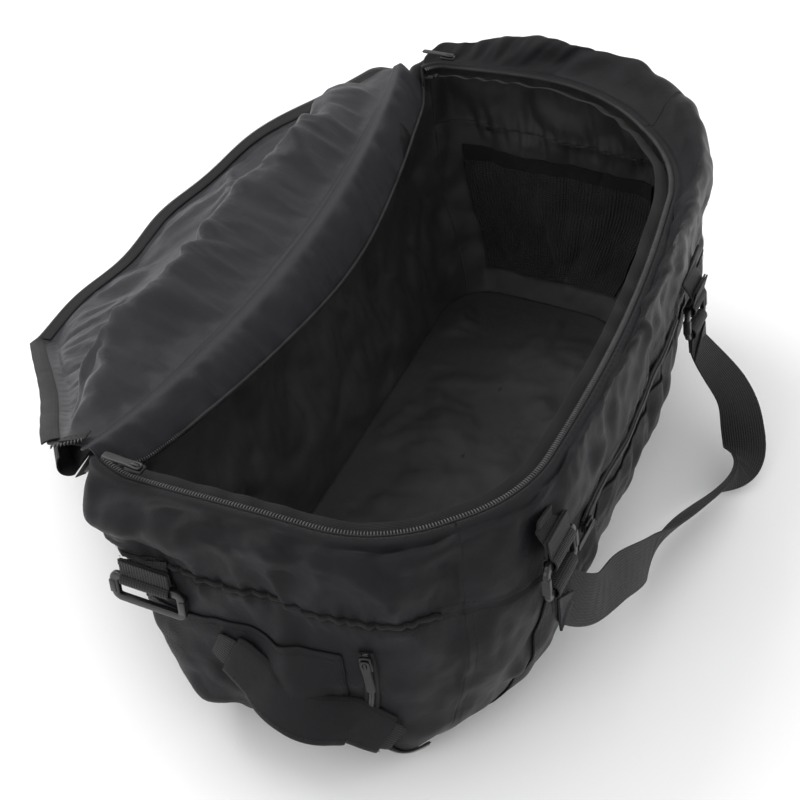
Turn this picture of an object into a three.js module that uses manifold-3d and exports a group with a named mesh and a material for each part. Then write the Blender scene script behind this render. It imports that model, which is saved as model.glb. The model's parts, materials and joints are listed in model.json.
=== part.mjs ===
// A soft duffel bag standing open: a cloth tub with a zipped U-shaped mouth, a lid hinged along the back,
// flat zipped pockets, four strap rings with two carrying handles, two end rings and two end grab handles.
// Millimetres, +Z up. -X is the near end, +X the far end, -Y the front, +Y the back with the lid hinge.
// The origin is on the ground under the middle of the base.
import * as THREE from 'three';
import Module from 'manifold-3d';
import { mergeVertices } from 'three/addons/utils/BufferGeometryUtils.js';

const wasm = await Module();
wasm.setup();

// ---- driving dimensions ----
const CLOTH = 2.4; // wall cloth with its seam allowance and coating
const TAPE = 0.9; // zip tape and binding
const WEB_WIDTH = 40; // strap webbing
const WEB_THICK = 2;
const COIL_WIDTH = 4; // one side of the main zip's coil
const COIL_INSET = 10; // coil's centre line, in from the edge of the mouth's cloth
const HINGE_Y = 152; // lid hinge line behind the back panel's top edge
const LID_DROOP = THREE.MathUtils.degToRad(37); // how far the open lid hangs below level
// Lid coil's centre line, inside the mouth's coil and its sliders.
const LID_INSET = COIL_INSET + COIL_WIDTH + 3.4;
const LID_CLOTH = 2.4; // lid cloth with its seam allowance and coating
const FOLD_GAP = 9; // half the distance between the lid and the corner folded under it
const FOLD_START = 3.33; // where the fold line leaves the lid's near end, as a station round the mouth
const FOLD_END = 0.4; // where it leaves the lid's long free edge

// Horizontal outlines of the tub from the base to the cloth edge of the mouth. near, far, front and back
// are the sides' positions, rNear, rFar and rBack the corner radii, bulge and endBulge how far the front
// and the ends swell past their corners, zNear and zFar the outline's height at the two ends, and backDrop
// how much lower it runs along the back.
const LEVELS = [
  {
    zNear: 0, zFar: 0, near: -288, far: 296, front: -118, back: 88,
    rNear: 60, rFar: 60, rBack: 45, bulge: 4, endBulge: 4,
  },
  {
    zNear: 45, zFar: 45, near: -308, far: 318, front: -150, back: 108,
    rNear: 95, rFar: 80, rBack: 50, bulge: 14, endBulge: 6,
  },
  {
    zNear: 115, zFar: 115, near: -312, far: 330, front: -164, back: 134,
    rNear: 105, rFar: 80, rBack: 50, bulge: 16, endBulge: 6,
  },
  {
    zNear: 185, zFar: 192, near: -312, far: 336, front: -162, back: 147,
    rNear: 118, rFar: 85, rBack: 45, bulge: 18, endBulge: 6,
  },
  {
    zNear: 222, zFar: 272, near: -308, far: 330, front: -158, back: 150,
    rNear: 124, rFar: 120, rBack: 38, bulge: 18, endBulge: 8, backDrop: 24,
  },
  {
    zNear: 232, zFar: 262, near: -300, far: 307, front: -154, back: 149,
    rNear: 126, rFar: 160, rBack: 32, bulge: 16, endBulge: 8,
  },
];
const MOUTH = LEVELS.length - 1;
const GUSSET_SEAM = 2.8; // level of the seam between the wall panels and the top gusset
const LONG_CORNER = 0.15; // share of a long side's outline that is half a corner
const SHORT_CORNER = 0.3;

// ---- materials ----
function cloth(name, color, roughness) {
  const material = new THREE.MeshStandardMaterial({ color, roughness, metalness: 0 });
  material.name = name;
  return material;
}
const NYLON = cloth('nylon', 0x1d1c20, 0.6);
const COATED = cloth('coated_nylon', 0x2b2a2f, 0.5);
const BINDING = cloth('binding', 0x141416, 0.8);
const WEBBING = cloth('webbing', 0x111113, 0.85);
const COIL = cloth('zip_coil', 0x1a1a1c, 0.4);
const PLASTIC = cloth('plastic', 0x0c0c0e, 0.3);
const SLIDER = cloth('slider', 0x18181a, 0.35);
const MESH_CLOTH = cloth('mesh', 0x161618, 0.9);

// ---- the tub's surface ----
const TURN = Math.PI / 2;

// One point of a level's outline. Whole numbers of s are the corners: 0 near front, 1 far front,
// 2 far back, 3 near back. inset moves the whole outline towards the inside.
function outlinePoint(level, s, inset = 0) {
  const side = Math.floor(s) % 4;
  const part = s - Math.floor(s);
  const share = side % 2 === 0 ? LONG_CORNER : SHORT_CORNER;
  const { near, far, front, back, rNear, rFar, rBack } = level;
  const corners = [
    { x: near + rNear, y: front + rNear, r: rNear - inset },
    { x: far - rFar, y: front + rFar, r: rFar - inset },
    { x: far - rBack, y: back - rBack, r: rBack - inset },
    { x: near + rBack, y: back - rBack, r: rBack - inset },
  ];
  const first = corners[side];
  const second = corners[(side + 1) % 4];
  const facing = -TURN + side * TURN;
  const swell = [level.bulge, level.endBulge, 0, level.endBulge][side] * Math.sin(Math.PI * part);
  const onArc = (corner, angle) => new THREE.Vector3(
    corner.x + corner.r * Math.cos(angle) + swell * Math.cos(facing),
    corner.y + corner.r * Math.sin(angle) + swell * Math.sin(facing),
    0,
  );
  if (part < share) return onArc(first, facing - (TURN / 2) * (1 - part / share));
  if (part > 1 - share) return onArc(second, facing + (TURN / 2) * (1 - (1 - part) / share));
  return onArc(first, facing).lerp(onArc(second, facing), (part - share) / (1 - 2 * share));
}

function levelPoint(level, s, inset = 0) {
  const point = outlinePoint(level, s, inset);
  const along = (point.x - level.near) / (level.far - level.near);
  const backward = THREE.MathUtils.smoothstep(point.y, 0, level.back);
  point.z = level.zNear + (level.zFar - level.zNear) * along - (level.backDrop ?? 0) * backward;
  return point;
}

// Tub surface at station s round the outline and level v, with a smooth curve through the levels.
function tubPoint(s, v) {
  const index = Math.min(Math.floor(v), MOUTH - 1);
  const t = v - index;
  const pick = (i) => levelPoint(LEVELS[THREE.MathUtils.clamp(i, 0, MOUTH)], s);
  const [a, b, c, d] = [pick(index - 1), pick(index), pick(index + 1), pick(index + 2)];
  const weights = [
    0.5 * (-t * t * t + 2 * t * t - t),
    0.5 * (3 * t * t * t - 5 * t * t + 2),
    0.5 * (-3 * t * t * t + 4 * t * t + t),
    0.5 * (t * t * t - t * t),
  ];
  return new THREE.Vector3()
    .addScaledVector(a, weights[0])
    .addScaledVector(b, weights[1])
    .addScaledVector(c, weights[2])
    .addScaledVector(d, weights[3]);
}

function tubNormal(s, v) {
  const step = 0.01;
  const low = Math.max(0, v - step);
  const high = Math.min(MOUTH, v + step);
  const around = tubPoint((s + step + 4) % 4, v).sub(tubPoint((s - step + 4) % 4, v));
  const up = tubPoint(s % 4, high).sub(tubPoint(s % 4, low));
  return around.cross(up).normalize();
}

// A point above (or, with a negative offset, below) the tub's surface.
function tubOffset(s, v, offset) {
  return tubPoint(s % 4, v).addScaledVector(tubNormal(s % 4, v), offset);
}

// ---- solids ----
// A closed block of nu by nv cells between two faces, face(u, v, k) with k = 0 below and 1 above.
function slab(nu, nv, face) {
  const positions = [];
  const index = [];
  const id = (i, j, k) => (k * (nv + 1) + j) * (nu + 1) + i;
  for (let k = 0; k < 2; k += 1) {
    for (let j = 0; j <= nv; j += 1) {
      for (let i = 0; i <= nu; i += 1) positions.push(...face(i / nu, j / nv, k).toArray());
    }
  }
  const quad = (a, b, c, d) => index.push(a, b, c, a, c, d);
  for (let j = 0; j < nv; j += 1) {
    for (let i = 0; i < nu; i += 1) {
      quad(id(i, j, 1), id(i + 1, j, 1), id(i + 1, j + 1, 1), id(i, j + 1, 1));
      quad(id(i, j, 0), id(i, j + 1, 0), id(i + 1, j + 1, 0), id(i + 1, j, 0));
    }
  }
  for (let i = 0; i < nu; i += 1) {
    quad(id(i, 0, 0), id(i + 1, 0, 0), id(i + 1, 0, 1), id(i, 0, 1));
    quad(id(i + 1, nv, 0), id(i, nv, 0), id(i, nv, 1), id(i + 1, nv, 1));
  }
  for (let j = 0; j < nv; j += 1) {
    quad(id(0, j + 1, 0), id(0, j, 0), id(0, j, 1), id(0, j + 1, 1));
    quad(id(nu, j, 0), id(nu, j + 1, 0), id(nu, j + 1, 1), id(nu, j, 1));
  }
  const geometry = new THREE.BufferGeometry();
  geometry.setAttribute('position', new THREE.Float32BufferAttribute(positions, 3));
  geometry.setIndex(index);
  geometry.computeVertexNormals();
  return geometry;
}

// A piece of the tub's wall between stations s0 and s1 and levels v0 and v1, offsets low to high.
function wallPiece([s0, s1], [v0, v1], [low, high], [nu, nv]) {
  const lerp = THREE.MathUtils.lerp;
  return slab(nu, nv, (u, v, k) => tubOffset(lerp(s0, s1, u), lerp(v0, v1, v), k ? high : low));
}

// A section swept along a path. frames is a list of { at, side, up }, section a list of [side, up]
// running clockwise when seen along the path.
function sweep(frames, section) {
  const positions = [];
  const index = [];
  const count = section.length;
  for (const { at, side, up } of frames) {
    for (const [a, b] of section) {
      positions.push(...at.clone().addScaledVector(side, a).addScaledVector(up, b).toArray());
    }
  }
  for (let i = 0; i + 1 < frames.length; i += 1) {
    for (let j = 0; j < count; j += 1) {
      const a = i * count + j;
      const b = i * count + ((j + 1) % count);
      index.push(a, b, b + count, a, b + count, a + count);
    }
  }
  const last = (frames.length - 1) * count;
  const outline = section.map(([a, b]) => new THREE.Vector2(a, b));
  const clockwise = THREE.ShapeUtils.isClockWise(outline);
  for (const triangle of THREE.ShapeUtils.triangulateShape(outline, [])) {
    const [a, b, c] = clockwise ? triangle : [...triangle].reverse();
    index.push(a, b, c, last + c, last + b, last + a);
  }
  const geometry = new THREE.BufferGeometry();
  geometry.setAttribute('position', new THREE.Float32BufferAttribute(positions, 3));
  geometry.setIndex(index);
  geometry.computeVertexNormals();
  return outwards(geometry);
}

// Turns a closed mesh's triangles round where its volume comes out negative.
function outwards(geometry) {
  const position = geometry.getAttribute('position');
  const index = geometry.getIndex().array;
  const [a, b, c] = [new THREE.Vector3(), new THREE.Vector3(), new THREE.Vector3()];
  let volume = 0;
  for (let i = 0; i < index.length; i += 3) {
    a.fromBufferAttribute(position, index[i]);
    b.fromBufferAttribute(position, index[i + 1]);
    c.fromBufferAttribute(position, index[i + 2]);
    volume += a.dot(b.cross(c));
  }
  if (volume < 0) {
    for (let i = 0; i < index.length; i += 3) {
      [index[i + 1], index[i + 2]] = [index[i + 2], index[i + 1]];
    }
    geometry.computeVertexNormals();
  }
  return geometry;
}

function flatSection(width, low, high) {
  return [[-width / 2, low], [-width / 2, high], [width / 2, high], [width / 2, low]];
}

// Closed zip: a flat tape with the coil's ridge along its middle.
function zipSection(width, coil, height) {
  return [
    [-width / 2, 0], [-width / 2, TAPE], [-coil / 2, TAPE], [-coil / 3, TAPE + height],
    [coil / 3, TAPE + height], [coil / 2, TAPE], [width / 2, TAPE], [width / 2, 0],
  ];
}

function roundSection(radius, sides) {
  const points = [];
  for (let i = 0; i < sides; i += 1) {
    const angle = (-2 * Math.PI * i) / sides;
    points.push([radius * Math.cos(angle), radius * Math.sin(angle)]);
  }
  return points;
}

// Frames along a line drawn on the tub's surface. route(t) gives [s, v] for t from 0 to 1.
function surfaceFrames(route, steps, lift) {
  const at = (t) => tubOffset(...route(t), lift(t));
  const frames = [];
  for (let i = 0; i <= steps; i += 1) {
    const t = i / steps;
    const forward = at(Math.min(1, t + 0.002)).sub(at(Math.max(0, t - 0.002))).normalize();
    const [s, v] = route(t);
    const up = tubNormal(s % 4, v);
    const side = forward.clone().cross(up).normalize();
    frames.push({ at: at(t), side, up: side.clone().cross(forward).normalize() });
  }
  return frames;
}

// Frames along a strap. stops is a list of [position, face], face being the way the webbing's flat faces.
function strapFrames(stops, steps) {
  const path = new THREE.CatmullRomCurve3(stops.map(([at]) => at), false, 'centripetal');
  const faces = new THREE.CatmullRomCurve3(stops.map(([, face]) => face), false, 'centripetal');
  const frames = [];
  for (let i = 0; i <= steps; i += 1) {
    const t = i / steps;
    const forward = path.getTangent(t).normalize();
    const side = forward.clone().cross(faces.getPoint(t)).normalize();
    frames.push({ at: path.getPoint(t), side, up: side.clone().cross(forward).normalize() });
  }
  return frames;
}

// Joins closed geometries into one solid.
function join(...geometries) {
  const solids = geometries.map((geometry) => {
    const bare = new THREE.BufferGeometry();
    bare.setAttribute('position', geometry.getAttribute('position').clone());
    if (geometry.getIndex()) bare.setIndex(geometry.getIndex().clone());
    const merged = mergeVertices(bare, 1e-4);
    return new wasm.Manifold(new wasm.Mesh({
      numProp: 3,
      vertProperties: new Float32Array(merged.getAttribute('position').array),
      triVerts: new Uint32Array(merged.getIndex().array),
    }));
  });
  const mesh = solids.reduce((sum, solid) => sum.add(solid)).getMesh();
  const geometry = new THREE.BufferGeometry();
  geometry.setAttribute('position', new THREE.BufferAttribute(mesh.vertProperties, 3));
  geometry.setIndex(new THREE.BufferAttribute(mesh.triVerts, 1));
  geometry.computeVertexNormals();
  return geometry;
}

const bag = new THREE.Group();
function add(parent, name, geometry, material) {
  const mesh = new THREE.Mesh(geometry, material);
  mesh.name = name;
  parent.add(mesh);
  return mesh;
}

// ---- wall panels ----
const SHORT_TRIM = 0.0015; // gap at a corner seam, as a share of a side
const LEVEL_TRIM = 0.006; // gap at a level seam, in levels
const sideSpan = (k) => [k + SHORT_TRIM, k + 1 - SHORT_TRIM];
const WALL_LEVELS = [0, GUSSET_SEAM - LEVEL_TRIM];
const GUSSET_LEVELS = [GUSSET_SEAM + LEVEL_TRIM, MOUTH];
const BACK_TOP = MOUTH - 0.14; // the back panel stops below the lid's plane
const WALL = [-CLOTH, 0];

function bottomPanel() {
  const inset = 5;
  const shape = new THREE.Shape();
  const steps = 64;
  for (let i = 0; i < steps; i += 1) {
    const point = outlinePoint(LEVELS[0], (4 * i) / steps, inset);
    if (i === 0) shape.moveTo(point.x, point.y);
    else shape.lineTo(point.x, point.y);
  }
  return new THREE.ExtrudeGeometry(shape, { depth: CLOTH, bevelEnabled: false });
}
add(bag, 'bottom_panel', bottomPanel(), NYLON);
add(bag, 'front_panel', wallPiece(sideSpan(0), WALL_LEVELS, WALL, [24, 8]), NYLON);
add(bag, 'far_end_panel', wallPiece(sideSpan(1), WALL_LEVELS, WALL, [16, 8]), NYLON);
add(bag, 'back_panel', wallPiece(sideSpan(2), [0, BACK_TOP], WALL, [20, 12]), NYLON);
add(bag, 'near_end_panel', wallPiece(sideSpan(3), WALL_LEVELS, WALL, [16, 8]), NYLON);
add(bag, 'front_top_gusset', wallPiece(sideSpan(0), GUSSET_LEVELS, WALL, [24, 5]), NYLON);
add(bag, 'far_top_gusset', wallPiece(sideSpan(1), GUSSET_LEVELS, WALL, [16, 7]), NYLON);
add(bag, 'near_top_gusset', wallPiece(sideSpan(3), GUSSET_LEVELS, WALL, [16, 5]), NYLON);

// ---- mouth: zip tape, coil and binding round the U, and the lid's seam tape ----
// Frames round the mouth at an inset from its cloth edge, between stations from and to (to may pass 4).
function mouthFrames(from, to, steps, inset, drop = 0) {
  const up = new THREE.Vector3(0, 0, 1);
  const at = (s) => {
    const point = levelPoint(LEVELS[MOUTH], (s + 4) % 4, inset);
    point.z -= drop;
    return point;
  };
  const frames = [];
  for (let i = 0; i <= steps; i += 1) {
    const s = from + ((to - from) * i) / steps;
    const forward = at(s + 0.005).sub(at(s - 0.005)).normalize();
    frames.push({ at: at(s), side: forward.clone().cross(up).normalize(), up });
  }
  return frames;
}
const MOUTH_START = 3.08; // just past the near back corner
const MOUTH_END = 5.92; // just short of the far back corner
const MOUTH_STEPS = 48;
const tapeWidth = COIL_INSET - COIL_WIDTH / 2 - CLOTH - 1;
const tapeMiddle = CLOTH + 0.6 + tapeWidth / 2;
add(
  bag, 'mouth_zip_tape',
  sweep(mouthFrames(MOUTH_START, MOUTH_END, MOUTH_STEPS, tapeMiddle, 1.5), flatSection(tapeWidth, 0, TAPE)),
  BINDING,
);
add(
  bag, 'mouth_zip_coil',
  sweep(mouthFrames(MOUTH_START, MOUTH_END, MOUTH_STEPS, COIL_INSET), roundSection(COIL_WIDTH / 2, 5)),
  COIL,
);
add(
  bag, 'mouth_binding',
  sweep(
    mouthFrames(MOUTH_START, MOUTH_END, MOUTH_STEPS, CLOTH + 2.4, 8),
    [[-TAPE / 2, -6], [-TAPE / 2, 5], [TAPE / 2, 5], [TAPE / 2, -6]],
  ), BINDING,
);
add(
  bag, 'hinge_binding',
  wallPiece([2.16, 2.84], [4.1, 4.85], [-CLOTH - 0.6 - TAPE, -CLOTH - 0.6], [14, 2]), BINDING,
);

// ---- seam piping round the two ends ----
const PIPING_RADIUS = 1.8;
const PIPING_LIFT = PIPING_RADIUS + 0.5;
function endPiping(start) {
  const route = (t) => [start + 0.06 + 0.88 * t, GUSSET_SEAM];
  return sweep(surfaceFrames(route, 22, () => PIPING_LIFT), roundSection(PIPING_RADIUS, 6));
}
add(bag, 'far_end_piping', endPiping(1), BINDING);
add(bag, 'near_end_piping', endPiping(3), BINDING);

// ---- pockets: skins on the wall panels, each closed by a zip ----
const SKIN = [1.5, 3.1];
const ZIP_LIFT = 1.4;
const ZIP_WIDTH = 24;
const ZIP_COIL = 5;
const ZIP_RIDGE = 1.8;
const pocketZip = (route, steps) => sweep(
  surfaceFrames(route, steps, () => ZIP_LIFT), zipSection(ZIP_WIDTH, ZIP_COIL, ZIP_RIDGE),
);
const FRONT_ZIP = { from: 0.2, to: 0.64, level: 2.62 };
const BACK_ZIP = { from: 2.38, to: 2.7, level: 4 };
const NEAR_ZIP = { station: 3.76, from: 2.4, to: 1.4 };
const FAR_ZIP = { station: 1.24, from: 2.4, to: 1.4 };
const alongLine = ({ from, to, level }) => (t) => [from + (to - from) * t, level];
const downLine = ({ station, from, to }) => (t) => [station, from + (to - from) * t];

add(bag, 'front_pocket_panel', wallPiece([0.12, 0.86], [0.3, 2.38], SKIN, [18, 6]), NYLON);
add(bag, 'front_pocket_zip', pocketZip(alongLine(FRONT_ZIP), 16), BINDING);
add(bag, 'back_pocket_panel', wallPiece([2.37, 2.71], [0.5, 3.1], SKIN, [10, 6]), NYLON);
add(bag, 'back_pocket_zip', pocketZip(alongLine(BACK_ZIP), 12), BINDING);
add(bag, 'near_pocket_panel', wallPiece([3.15, 3.69], [0.35, 2.25], SKIN, [12, 5]), NYLON);
add(bag, 'near_pocket_zip', pocketZip(downLine(NEAR_ZIP), 8), BINDING);
add(bag, 'far_pocket_panel', wallPiece([1.31, 1.85], [0.35, 2.25], SKIN, [12, 5]), NYLON);
add(bag, 'far_pocket_zip', pocketZip(downLine(FAR_ZIP), 8), BINDING);

// ---- mesh pocket on the inside of the far end ----
const INSIDE_SKIN = [-CLOTH - 3, -CLOTH - 1.4];
add(bag, 'mesh_pocket', wallPiece([1.2, 1.8], [0.6, 2.3], INSIDE_SKIN, [10, 5]), MESH_CLOTH);
add(bag, 'mesh_pocket_binding', wallPiece([1.2, 1.8], [2.33, 2.5], INSIDE_SKIN, [10, 1]), BINDING);

// ---- strap rings ----
const RING = { length: 62, height: 30, bar: 7, thick: 5, corner: 6 };
const RING_PITCH = RING.height - RING.bar; // between the middles of a ring's two bars
const LOOP_IN = RING.bar / 2 + 0.9; // webbing loop round a bar
const LOOP_OUT = LOOP_IN + 1.6;

function roundedRectangle(target, x0, y0, x1, y1, radius) {
  target.moveTo(x0 + radius, y0);
  target.lineTo(x1 - radius, y0);
  target.absarc(x1 - radius, y0 + radius, radius, -TURN, 0);
  target.lineTo(x1, y1 - radius);
  target.absarc(x1 - radius, y1 - radius, radius, 0, TURN);
  target.lineTo(x0 + radius, y1);
  target.absarc(x0 + radius, y1 - radius, radius, TURN, 2 * TURN);
  target.lineTo(x0, y0 + radius);
  target.absarc(x0 + radius, y0 + radius, radius, 2 * TURN, 3 * TURN);
  target.closePath();
  return target;
}

// A flat rectangular ring, its upper bar's middle at the origin and its lower bar towards -Y.
function ringGeometry() {
  const { length, bar, corner } = RING;
  const long = length / 2;
  const half = long - bar;
  const shape = roundedRectangle(new THREE.Shape(), -long, -RING_PITCH - bar / 2, long, bar / 2, corner);
  shape.holes.push(roundedRectangle(new THREE.Path(), -half, -RING_PITCH + bar / 2, half, -bar / 2, 1.5));
  const bevel = 1;
  const geometry = new THREE.ExtrudeGeometry(shape, {
    depth: RING.thick - 2 * bevel,
    bevelEnabled: true,
    bevelSize: bevel,
    bevelOffset: -bevel,
    bevelThickness: bevel,
    bevelSegments: 1,
    curveSegments: 3,
  });
  return geometry.translate(0, 0, -(RING.thick - 2 * bevel) / 2);
}

// Webbing folded round a bar: a short tube as long as the webbing is wide, along X.
function loopGeometry() {
  const shape = new THREE.Shape();
  shape.absarc(0, 0, LOOP_OUT, 0, 2 * Math.PI);
  const hole = new THREE.Path();
  hole.absarc(0, 0, LOOP_IN, 0, 2 * Math.PI, true);
  shape.holes.push(hole);
  const tube = new THREE.ExtrudeGeometry(shape, { depth: WEB_WIDTH, bevelEnabled: false, curveSegments: 6 });
  return tube.translate(0, 0, -WEB_WIDTH / 2).rotateY(TURN);
}

// Places a ring: at is the upper bar's middle, along its bar, up from the lower bar to the upper one.
function ringPlace(at, along, up) {
  const group = new THREE.Group();
  const out = along.clone().cross(up).normalize();
  const basis = new THREE.Matrix4().makeBasis(along, out.clone().cross(along), out);
  group.quaternion.setFromRotationMatrix(basis);
  group.position.copy(at);
  bag.add(group);
  return group;
}

// The two rings of one long side hang from parallel bars, so that the handle swings on one straight line.
const RING_LIFT = 9.5; // ring's middle plane above the cloth
const SIDES = {
  front: { near: [0.115, 3.12], far: [0.7, 2.5], lean: [0, 0.2, 0.98] },
  back: { near: [2.77, 2.7], far: [2.31, 2.55], lean: [0, -0.1, 0.99] },
};

function sideRings(name) {
  const { near, far, lean } = SIDES[name];
  const bars = { near: tubOffset(...near, RING_LIFT), far: tubOffset(...far, RING_LIFT) };
  const along = bars.far.clone().sub(bars.near).normalize();
  if (name === 'back') along.negate();
  const up = new THREE.Vector3(...lean);
  up.addScaledVector(along, -up.dot(along)).normalize();
  for (const end of ['near', 'far']) {
    const group = ringPlace(bars[end], along, up);
    add(group, `${name}_${end}_ring`, ringGeometry(), PLASTIC);
    add(group, `${name}_${end}_ring_tab`, loopGeometry(), WEBBING);
  }
  return { bars, along, up };
}

// A carrying handle: webbing looped round both lower bars, with stops between them as [x, y, z, face].
function handleGeometry({ bars, along, up }, stops) {
  const out = along.clone().cross(up);
  const loops = {};
  const tails = {};
  for (const end of ['near', 'far']) {
    const bar = bars[end].clone().addScaledVector(up, -RING_PITCH);
    const basis = new THREE.Matrix4().makeBasis(along, up, out);
    loops[end] = loopGeometry().applyMatrix4(basis.setPosition(bar));
    tails[end] = [
      bar.clone().addScaledVector(up, -(LOOP_IN + 0.4)),
      bar.clone().addScaledVector(up, -(LOOP_OUT + 12)),
    ].map((at) => [at, out]);
  }
  const between = stops.map(([x, y, z, ...face]) => [new THREE.Vector3(x, y, z), new THREE.Vector3(...face)]);
  const frames = strapFrames([...tails.near, ...between, ...tails.far.reverse()], 32);
  const strap = sweep(frames, flatSection(WEB_WIDTH, -WEB_THICK / 2, WEB_THICK / 2));
  return join(strap, loops.near, loops.far);
}

const frontRings = sideRings('front');
const backRings = sideRings('back');
add(bag, 'front_handle', handleGeometry(frontRings, [
  [-196, -196, 124, -0.3, -1, 0.3],
  [-142, -202, 82, -0.3, -0.9, 0.4],
  [-80, -212, 50, -0.2, -0.9, 0.5],
  [-15, -224, 32, 0, -1, 0.1],
  [45, -245, 26, 0.1, -1, -0.1],
  [96, -262, 24, 0.3, -0.9, 0.1],
  [132, -260, 36, 0.7, -0.6, 0.3],
  [150, -238, 66, 0.5, -0.7, 0.4],
]), WEBBING);
add(bag, 'back_handle', handleGeometry(backRings, [
  [-170, 166, 100, -0.3, 1, 0.3],
  [-115, 178, 62, -0.2, 0.9, 0.4],
  [-55, 192, 34, 0, 1, 0.2],
  [20, 200, 25, 0, 1, 0],
  [90, 192, 34, 0, 1, 0.2],
  [140, 176, 66, 0.3, 0.9, 0.4],
]), WEBBING);

// ---- end rings for a shoulder strap, and grab handles across the ends ----
function endRing(name, station, level, along) {
  const up = new THREE.Vector3(0, 0, 1);
  const group = ringPlace(tubOffset(station, level, RING_LIFT), along, up);
  add(group, `${name}_end_ring`, ringGeometry(), PLASTIC);
  add(group, `${name}_end_ring_tab`, loopGeometry(), WEBBING);
}
endRing('near', 3.3, 2.5, new THREE.Vector3(0, -1, 0));
endRing('far', 1.7, 2.5, new THREE.Vector3(0, 1, 0));

const GRAB = { width: 28, thick: 2.6, low: 5.2, bow: 16 };
function grabHandle(from, to) {
  const route = (t) => [from + (to - from) * t, 1.75 - 0.75 * t];
  const frames = surfaceFrames(route, 18, (t) => GRAB.low + GRAB.bow * Math.sin(Math.PI * t) ** 1.2);
  return sweep(frames, flatSection(GRAB.width, -GRAB.thick / 2, GRAB.thick / 2));
}
add(bag, 'near_grab_handle', grabHandle(3.4, 3.86), WEBBING);
add(bag, 'far_grab_handle', grabHandle(1.6, 1.14), WEBBING);

// ---- lid: hinged along the back, with its near free corner folded underneath ----
const mouth = LEVELS[MOUTH];
const TILT = Math.atan((mouth.zFar - mouth.zNear) / (mouth.far - mouth.near));
const hingeZ = mouth.zNear - mouth.near * Math.tan(TILT);
const lid = new THREE.Group();
lid.position.set(0, HINGE_Y, hingeZ);
lid.rotation.set(-LID_DROOP, -TILT, 0, 'YXZ');
bag.add(lid);

const LID_START = 4; // hinge line to the lid's cloth
const LID_EDGE_ROOM = 12; // hinge line to the ends of the zip
const LID_CLOTH_INSET = LID_INSET + COIL_WIDTH / 2 + 1;

// Lid outline in the lid's own plane: x along the hinge, y away from it. Stations are the mouth's; round
// the back corners the edge runs on to the hinge, room short of its line.
function lidPoint(station, inset, room = LID_EDGE_ROOM) {
  const s = (station + 4) % 4;
  const end = Math.floor(s);
  const part = s - end;
  const flip = (point) => new THREE.Vector3(point.x / Math.cos(TILT), HINGE_Y - point.y, 0);
  const past = end === 1 ? (part - 1 + SHORT_CORNER) / SHORT_CORNER : 1 - part / SHORT_CORNER;
  const point = flip(outlinePoint(mouth, s, inset));
  if (end % 2 === 0 || past <= 0) return point;
  return point.setY(THREE.MathUtils.lerp(point.y, room, past * past));
}
function lidRun(from, to, steps, inset, room) {
  const points = [];
  for (let i = 0; i <= steps; i += 1) points.push(lidPoint(from + ((to - from) * i) / steps, inset, room));
  return points;
}
const foldFrom = lidPoint(FOLD_START, LID_CLOTH_INSET);
const foldTo = lidPoint(FOLD_END, LID_CLOTH_INSET);
const foldAlong = foldTo.clone().sub(foldFrom).normalize();
const foldSide = new THREE.Vector3(foldAlong.y, -foldAlong.x, 0);
const FOLD_TRIM = 3; // cloth stops this far from the fold line on both sides
const FOLD_STEP = 0.025; // first outline point past the fold, in stations

const shapeOf = (points) => new THREE.Shape(points.map(({ x, y }) => new THREE.Vector2(x, y)));
function lidCloth(points) {
  const geometry = new THREE.ExtrudeGeometry(shapeOf(points), { depth: LID_CLOTH, bevelEnabled: false });
  return geometry.translate(0, 0, -LID_CLOTH / 2);
}
function lidFrames(from, to, steps, inset) {
  const up = new THREE.Vector3(0, 0, 1);
  const at = (s) => lidPoint(s, inset);
  const frames = [];
  for (let i = 0; i <= steps; i += 1) {
    const s = from + ((to - from) * i) / steps;
    const forward = at(s - 0.004).sub(at(s + 0.004)).normalize();
    frames.push({ at: at(s), side: forward.clone().cross(up).normalize(), up });
  }
  return frames;
}
const LID_TAPE_WIDTH = 11;
const lidTapeInset = LID_INSET + COIL_WIDTH / 2 + 1 + LID_TAPE_WIDTH / 2;
const lidTapeLift = LID_CLOTH / 2 + 0.4;
const lidTape = (from, to, steps) => sweep(
  lidFrames(from, to, steps, lidTapeInset),
  flatSection(LID_TAPE_WIDTH, lidTapeLift, lidTapeLift + TAPE),
);
const lidCoil = (from, to, steps) => sweep(
  lidFrames(from, to, steps, LID_INSET),
  roundSection(COIL_WIDTH / 2, 5),
);
const LID_ZIP_START = 1.9; // station of the zip's end by the far end of the hinge
const FOLD_ROOM = 0.03; // zip left out each side of the fold, in stations
const trimmed = (point, direction) => point.clone().addScaledVector(foldSide, direction * FOLD_TRIM);

add(lid, 'lid_panel', lidCloth([
  ...lidRun(1.99, FOLD_END + FOLD_STEP, 46, LID_CLOTH_INSET, LID_START),
  trimmed(foldTo, 1),
  trimmed(foldFrom, 1),
  ...lidRun(FOLD_START - FOLD_STEP, 3.01, 6, LID_CLOTH_INSET, LID_START),
]), COATED);
add(lid, 'lid_zip_tape', lidTape(LID_ZIP_START, FOLD_END + FOLD_ROOM, 44), BINDING);
add(lid, 'lid_zip_coil', lidCoil(LID_ZIP_START, FOLD_END + FOLD_ROOM, 44), COIL);
add(lid, 'lid_zip_tail', lidTape(FOLD_START - FOLD_ROOM, 3.01, 4), BINDING);

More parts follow.
